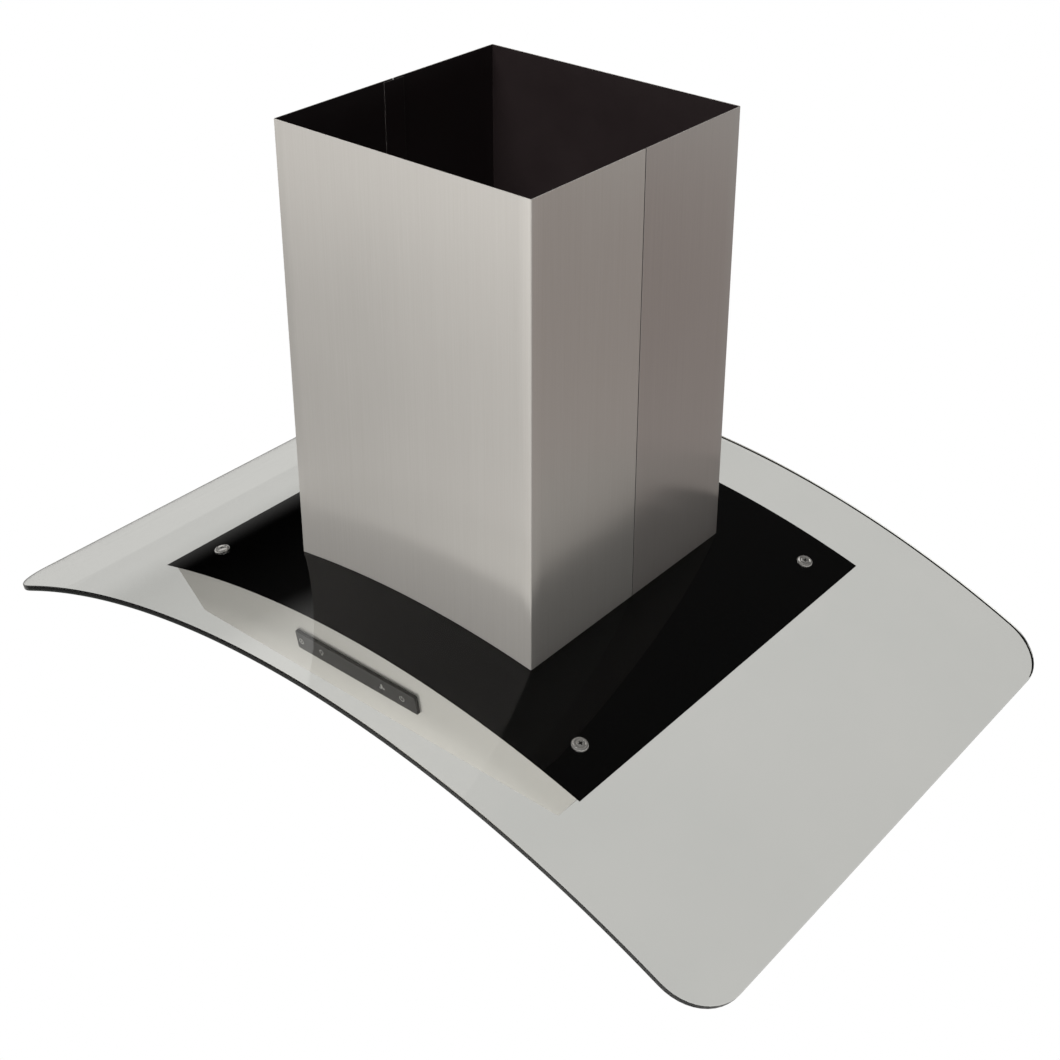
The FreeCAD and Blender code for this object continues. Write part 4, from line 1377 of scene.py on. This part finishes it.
# ---- control strip ----
@dataclass
class ControlStrip:
    """The smoked touch strip on the front panel, with its pale marks."""

    width: float = 0.1565
    height: float = 0.0217
    thickness: float = 0.003
    corner: float = 0.002
    rounding: float = 0.0006
    rounding_steps: int = 4
    foot_gap: float = 0.0001
    middle_x: float = -0.003
    middle_z: float = -0.307
    crown_half: float = 0.2245
    bottom_half: float = 0.2103
    crown: float = -0.261
    bottom: float = -0.349
    stroke: float = 0.0006
    ink: float = 0.00006
    bulb_x: float = -0.0445
    timer_x: float = -0.0715
    fan_x: float = 0.0348
    power_x: float = 0.060

    def place(self) -> Matrix:
        """The strip's seat on the leaning panel: X along it, Y up it, Z out of it.

        Returns:
            The seat.
        """
        share = (self.middle_z - self.bottom) / (self.crown - self.bottom)
        surface = self.bottom_half + share * (self.crown_half - self.bottom_half)
        lean = math.atan2(self.crown_half - self.bottom_half, self.crown - self.bottom)
        spot = Matrix.Translation(Vector((self.middle_x, -surface, self.middle_z)))
        return spot @ Matrix.Rotation(0.5 * math.pi + lean, 4, "X")

    def ribbon(self, piece: Piece, path: Sequence[Point2], closed: bool = False) -> None:
        """A raised stroke of ink along a path.

        Args:
            piece: what it is built in.
            path: its middle line.
            closed: whether it joins up.
        """
        count = len(path)
        sides = ([], [])
        for i, spot in enumerate(path):
            before = path[(i - 1) % count] if closed or i else spot
            after = path[(i + 1) % count] if closed or i < count - 1 else spot
            way = Vector((after[0] - before[0], after[1] - before[1])).normalized()
            across = 0.5 * self.stroke * Vector((-way.y, way.x))
            sides[0].append((spot[0] + across.x, spot[1] + across.y))
            sides[1].append((spot[0] - across.x, spot[1] - across.y))
        heights = (self.thickness, self.thickness + self.ink)
        rows = [piece.ring(self.place() @ Vector((x, y, z)) for x, y in side)
                for side in sides for z in heights]
        for first, second in ((0, 1), (1, 3), (3, 2), (2, 0)):
            piece.skin(rows[first], rows[second], closed=closed)
        if not closed:
            for index in (0, -1):
                piece.face([rows[k][index] for k in (0, 1, 3, 2)])

    def arc(self, x: float, y: float, radius: float, start: float, end: float, steps: int = 20) -> list[Point2]:
        """Points round part of a circle, angles in degrees.

        Args:
            x: the middle along the strip.
            y: the middle up the strip.
            radius: its radius.
            start: where it starts.
            end: where it ends.
            steps: runs along it.

        Returns:
            The points.
        """
        turns = (math.radians(start + (end - start) * i / steps) for i in range(steps + 1))
        return [(x + radius * math.cos(a), y + radius * math.sin(a)) for a in turns]

    def marks(self, piece: Piece) -> None:
        """Draws the timer, lamp, fan and power marks.

        Args:
            piece: what they are built in.
        """
        x = self.timer_x
        self.ribbon(piece, self.arc(x, 0.0, 0.0028, 0, 342), closed=True)
        self.ribbon(piece, [(x, 0.0017), (x, 0.0), (x + 0.0013, -0.0006)])
        x = self.bulb_x
        self.ribbon(piece, self.arc(x, 0.0008, 0.0022, -55, 235))
        self.ribbon(piece, [(x - 0.0009, -0.0021), (x + 0.0009, -0.0021)])
        self.ribbon(piece, [(x - 0.0007, -0.0031), (x + 0.0007, -0.0031)])
        self.fan(piece, self.fan_x)
        x = self.power_x
        self.ribbon(piece, self.arc(x, -0.0002, 0.0027, 120, 420))
        self.ribbon(piece, [(x, 0.0032), (x, 0.0004)])

    def fan(self, piece: Piece, x: float) -> None:
        """Draws the fan mark: a hub and three leaf-shaped blades.

        Args:
            piece: what it is built in.
            x: where its middle lies along the strip.
        """
        self.ribbon(piece, self.arc(x, 0.0, 0.0005, 0, 330, 10), closed=True)
        for blade in range(3):
            turn = math.radians(90 + 120 * blade)
            leaf = []
            for i in range(15):
                share = 2 * math.pi * i / 15
                along, across = 0.0021 + 0.0013 * math.cos(share), 0.0008 * math.sin(share) + 0.0002
                leaf.append((x + along * math.cos(turn) - across * math.sin(turn),
                             along * math.sin(turn) + across * math.cos(turn)))
            self.ribbon(piece, leaf, closed=True)

    def build(self) -> list[Thing]:
        """Builds the strip and its marks.

        Returns:
            The two pieces.
        """
        strip = Piece("touch_strip", finishes=(TOUCH_PANEL,), stands_for=("control_fascia",))
        levels = [(0.0, self.foot_gap)]
        for i in range(self.rounding_steps + 1):
            turn = 0.5 * math.pi * i / self.rounding_steps
            levels.append((self.rounding * (1 - math.cos(turn)),
                           self.thickness - self.rounding + self.rounding * math.sin(turn)))
        rows = []
        for inset, height in levels:
            outline = rounded_outline(self.width - 2 * inset, self.height - 2 * inset, self.corner - inset)
            rows.append(strip.ring(self.place() @ Vector((x, y, height)) for x, y in outline))
        for first, second in zip(rows, rows[1:]):
            strip.skin(first, second)
        strip.face(rows[0])
        strip.face(rows[-1])
        ink = Piece("touch_marks", finishes=(MARK_INK,))
        self.marks(ink)
        return [strip.done(even_shading), ink.done()]


# ---- lamps ----
@dataclass
class LampCovers:
    """The four frosted covers, each with a shallow dome and a pressed ring."""

    radius: float = 0.019
    dome_share: float = 0.82
    dome_rise: float = 0.0005
    rim_rise: float = 0.0006
    groove_rise: float = 0.0009
    rounding: float = 0.0003

    def profile(self, low: float, high: float) -> list[Point2]:
        """The cover's section, its show side downward.

        Args:
            low: height of its lowest point.
            high: height of its back.

        Returns:
            The points.
        """
        r = self.radius
        rim = low + self.rim_rise
        dome = [(r * self.dome_share * share, low + self.dome_rise * share * share)
                for share in (0.0, 0.25, 0.5, 0.75, 1.0)]
        ring = [(r * 0.86, low + self.groove_rise), (r * 0.9, rim), (r - self.rounding, rim),
                (r, rim + self.rounding)]
        return dome + ring + [(r, high), (0.0, high)]

    def build(self) -> list[Thing]:
        """Builds the covers.

        Returns:
            The pieces.
        """
        covers = []
        for end in End:
            for side in Side:
                node = "lamp_lens_%s_%s" % (end.word, side.word)
                low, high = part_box(node)
                seat = Matrix.Translation(Vector((0.5 * (low.x + high.x), 0.5 * (low.y + high.y), 0.0)))
                piece = Piece("cover_%s_%s" % (end.word, side.word), finishes=(LENS,), stands_for=(node,))
                piece.lathe(self.profile(low.z, high.z), seat, turns=64, closed=False)
                covers.append(piece.done())
        return covers


# ---- parts carried over ----
@dataclass(frozen=True)
class Dressing:
    """How parts carried over from the frame are finished."""

    finish: Finish
    nodes: tuple[str, ...]
    easing: float = 0.0

    def apply(self) -> None:
        """Gives each part its material, and eases its edges where it says so."""
        for node in self.nodes:
            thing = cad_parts[node]
            thing.data.materials.clear()
            thing.data.materials.append(self.finish.material())
            if self.easing:
                joined_corners(thing)
                eased_edges(self.easing)(thing)
            LOG.info("dressed %s in %s", node, self.finish.name)


def pair(name: str) -> tuple[str, str]:
    """The left and right parts of one name."""
    return (name + "_left", name + "_right")


def four(name: str) -> tuple[str, ...]:
    """The four corner parts of one name."""
    return tuple("%s_%s_%s" % (name, end.word, side.word) for end in End for side in Side)


DRESSINGS = (
    Dressing(BODY_LONGWAYS_PAINTED_LIGHT, ("front_panel", "back_panel"), 0.0003),
    Dressing(BODY_SIDEWAYS, ("left_panel", "right_panel"), 0.0003),
    Dressing(BODY_LONGWAYS_PAINTED_LIGHT, ("bottom_panel",), 0.0002),
    Dressing(FILTER_SKIN, pair("filter_frame"), 0.0002),
    Dressing(FILTER_SKIN, pair("filter_baffles")),
    Dressing(CHROME, pair("filter_handle"), 0.0005),
    Dressing(FILTER_SKIN, pair("filter_latch"), 0.0003),
    Dressing(GALVANISED, ("top_deck", "casing_walls", "casing_lid"), 0.0002),
    Dressing(GALVANISED, four("post") + ("head_frame",), 0.0003),
    Dressing(GALVANISED, ("chimney_seam_straps", "upper_chimney_seam_straps", "blower_plate_front",
                          "blower_plate_back", "motor_bracket", "blower_wheel")),
    Dressing(BOLT_ZINC, ("frame_bolts",), 0.0002),
    Dressing(LAMP_METAL, four("lamp_can"), 0.0003),
    Dressing(MOULDED_BLACK, ("duct_collar", "power_module", "terminal_box", "mains_gland"), 0.0004),
    Dressing(MOULDED_BLACK, pair("damper_flap") + ("blower_scroll",)),
    Dressing(GROUND_STEEL, ("motor_shaft", "motor_bearings", "damper_pins")),
    Dressing(MOTOR_PAINT, ("motor_can",), 0.0005),
    Dressing(CAPACITOR, ("motor_capacitor",), 0.0006),
    Dressing(BOARD, ("control_board",), 0.0001),
    Dressing(FOAM, ("canopy_gasket",)),
    Dressing(NYLON, ("glass_bushes",)),
)


# ---- studio ----
@dataclass(frozen=True)
class PaintedLightPool:
    """A painted pool on the floor: painted light where its level is above 0 and painted shade where it is
    below, a broad patch glowing brighter or dimmer than the rest and fading to nothing at its rim.
    """

    place: Point2
    spread: float
    level: float


@dataclass(frozen=True)
class SoftLight:
    """A broad soft light, far off: where it stands, its core and rim in degrees, and how bright it is."""

    azimuth: float
    elevation: float
    core: float
    rim: float
    level: float

    def direction(self) -> Vector:
        """The way to it; azimuth 0 is straight behind the hood and 90 to its left."""
        turn, tilt = math.radians(self.azimuth), math.radians(self.elevation)
        return Vector((-math.sin(turn) * math.cos(tilt), math.cos(turn) * math.cos(tilt), math.sin(tilt)))


@dataclass
class Studio:
    """A plain pale floor far below whose glow carries painted pools of light and shade, a pale surround, a soft
    light behind and a wide lamp in front.
    """

    drop: float = 1.75
    reach: float = 60.0
    floor_cells: int = 12
    floor_level: float = 0.59
    floor_dark: Colour = (0.98, 0.968, 0.938)
    floor_light: Colour = (1.0, 0.988, 0.958)
    # Painted pools of light and shade in the floor's glow, laid where the hood reflects and is lit by the
    # floor.
    painted_pools: tuple[PaintedLightPool, ...] = (
        PaintedLightPool((-0.5, -1.4), 2.0, 0.58),
        PaintedLightPool((-2.6, 3.0), 3.4, 0.07),
        PaintedLightPool((-3.6, -2.4), 2.8, -0.58),
        PaintedLightPool((-2.4, -5.8), 3.6, 0.6),
        PaintedLightPool((3.5, 3.4), 3.2, -0.26),
    )
    # Painted shade tint: a warm colour laid over the floor's glow inside the last, dimming pool.
    painted_shade_tint: Colour = (1.0, 0.8, 0.74)
    night_level: float = 0.004
    sky_level: float = 0.07
    sky_reach: Point2 = (0.2, 0.75)
    horizon_level: float = 0.45
    horizon_reach: Point2 = (0.2, 0.05)
    lights: tuple[SoftLight, ...] = (
        SoftLight(62.0, 50.0, 16.5, 25.1, 1.0),
    )
    front: SoftLight = SoftLight(182.0, 44.0, 0.0, 20.0, 3.7)

    def floor_material(self) -> bpy.types.Material:
        """The floor: white where it is seen itself; where it lights and is mirrored, a glow with painted pools
        of light and shade and a warm painted shade tint in the last pool.

        Returns:
            The material.
        """
        bench = NodeBench("studio_floor")
        total = None
        for pool in self.painted_pools:
            away = bench.add("ShaderNodeVectorMath", {1: (*pool.place, 0.0)}, operation="DISTANCE")
            bench.wire(bench.place, away.inputs[0])
            fall = bench.span(away.outputs["Value"], pool.level, 0.0, 0.0, pool.spread, "SMOOTHERSTEP")
            total = bench.add_up(total, fall, self.floor_level)
        tint = bench.ramp(bench.noise(even(0.6)), self.floor_dark, self.floor_light)
        # Share of the warm painted shade tint, full at the middle of the last pool.
        shade = bench.span(fall, 0.0, 1.0, 0.0, pool.level)
        glow = bench.add("ShaderNodeEmission")
        bench.wire(bench.blend_colour(tint, self.painted_shade_tint, shade), glow.inputs["Color"])
        bench.wire(total, glow.inputs["Strength"])
        white = bench.add("ShaderNodeEmission", {"Color": WHITE, "Strength": 1.0})
        bench.choose(glow, white, bench.tree.nodes["Material Output"])
        return bench.material

    def floor(self) -> None:
        """Lays the floor."""
        bm = bmesh.new()
        steps = self.floor_cells
        rows = [[bm.verts.new((self.reach * (2 * i / steps - 1), self.reach * (2 * j / steps - 1), 0.0))
                 for i in range(steps + 1)] for j in range(steps + 1)]
        for first, second in zip(rows, rows[1:]):
            for i in range(steps):
                bm.faces.new((first[i], first[i + 1], second[i + 1], second[i]))
        data = bpy.data.meshes.new("floor")
        bm.to_mesh(data)
        bm.free()
        data.materials.append(self.floor_material())
        thing = put("floor", data)
        thing.location.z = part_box("bottom_panel")[0].z - self.drop

    def surround(self) -> None:
        """Sets the pale surround, dark overhead and bright at and below its horizon where it is mirrored, and
        its soft lights.
        """
        world = bpy.data.worlds.new("studio_surround")
        bpy.context.scene.world = world
        world.use_nodes = True
        world.node_tree.nodes.clear()
        sky = Nodes(world.node_tree)
        way = sky.add("ShaderNodeTexCoord").outputs["Generated"]
        upward = sky.add("ShaderNodeSeparateXYZ")
        sky.wire(way, upward.inputs[0])
        glows = [(upward.outputs["Z"], *self.sky_reach, self.sky_level),
                 (upward.outputs["Z"], *self.horizon_reach, self.horizon_level)]
        for light in self.lights:
            likeness = sky.add("ShaderNodeVectorMath", {1: light.direction()}, operation="DOT_PRODUCT")
            sky.wire(way, likeness.inputs[0])
            rim, core = (math.cos(math.radians(angle)) for angle in (light.rim, light.core))
            glows.append((likeness.outputs["Value"], rim, core, light.level))
        total = None
        for source, start, end, level in glows:
            glow = sky.span(source, 0.0, level, start, end, "SMOOTHSTEP")
            total = sky.add_up(total, glow, self.night_level)
        dim = sky.add("ShaderNodeBackground", {"Color": (*WARM_WHITE, 1.0)})
        sky.wire(total, dim.inputs["Strength"])
        white = sky.add("ShaderNodeBackground", {"Color": WHITE})
        sky.choose(dim, white, sky.add("ShaderNodeOutputWorld"))

    def front_lamp(self) -> None:
        """Hangs the wide front lamp, which lights the hood but is not mirrored in it."""
        data = bpy.data.lights.new("front_lamp", "SUN")
        data.energy = self.front.level
        data.angle = math.radians(2 * self.front.rim)
        data.color = WARM_WHITE
        lamp = put("front_lamp", data)
        lamp.rotation_euler = self.front.direction().to_track_quat("Z", "Y").to_euler()
        lamp.visible_camera = False
        lamp.visible_glossy = False
        lamp.visible_transmission = False

    def build(self) -> None:
        """Builds the studio."""
        self.floor()
        self.surround()
        self.front_lamp()
        bpy.context.scene.view_settings.view_transform = "Standard"
        LOG.info("studio ready")


@dataclass
class Viewpoint:
    """Where the hood is looked at from: a raised three-quarter view from its front right."""

    azimuth: float = 40.06
    elevation: float = 25.97
    distance: float = 1.70257
    aside: float = 0.01831
    above: float = 0.21532
    lens: float = 57.676
    rise: float = -0.2
    sensor: float = 36.0
    clip: Point2 = (0.05, 200.0)

    def build(self) -> None:
        """Sets up the camera."""
        turn, tilt = math.radians(self.azimuth), math.radians(self.elevation)
        back = Vector((math.sin(turn) * math.cos(tilt), -math.cos(turn) * math.cos(tilt), math.sin(tilt)))
        right = Vector((math.cos(turn), math.sin(turn), 0.0))
        up = back.cross(right)
        data = bpy.data.cameras.new("viewpoint")
        data.lens = self.lens
        data.sensor_width = self.sensor
        data.shift_y = self.rise
        data.clip_start, data.clip_end = self.clip
        camera = put("viewpoint", data)
        crown = Vector((0.0, 0.0, ARCH.crown))
        camera.location = crown + self.aside * right + self.above * up + self.distance * back
        camera.rotation_euler = (0.5 * math.pi - tilt, 0.0, turn)
        bpy.context.scene.camera = camera


def main() -> None:
    """Builds every sub-assembly in order, dresses the carried-over parts and sets the studio."""
    logging.basicConfig(level=logging.INFO, format="%(message)s")
    for assembly in (GlassCanopy(), EnamelField(), CanopyScrews(), Chimneys(), ControlStrip(), LampCovers()):
        assembly.build()
    for dressing in DRESSINGS:
        dressing.apply()
    Studio().build()
    Viewpoint().build()


if __name__ == "__main__":
    main()
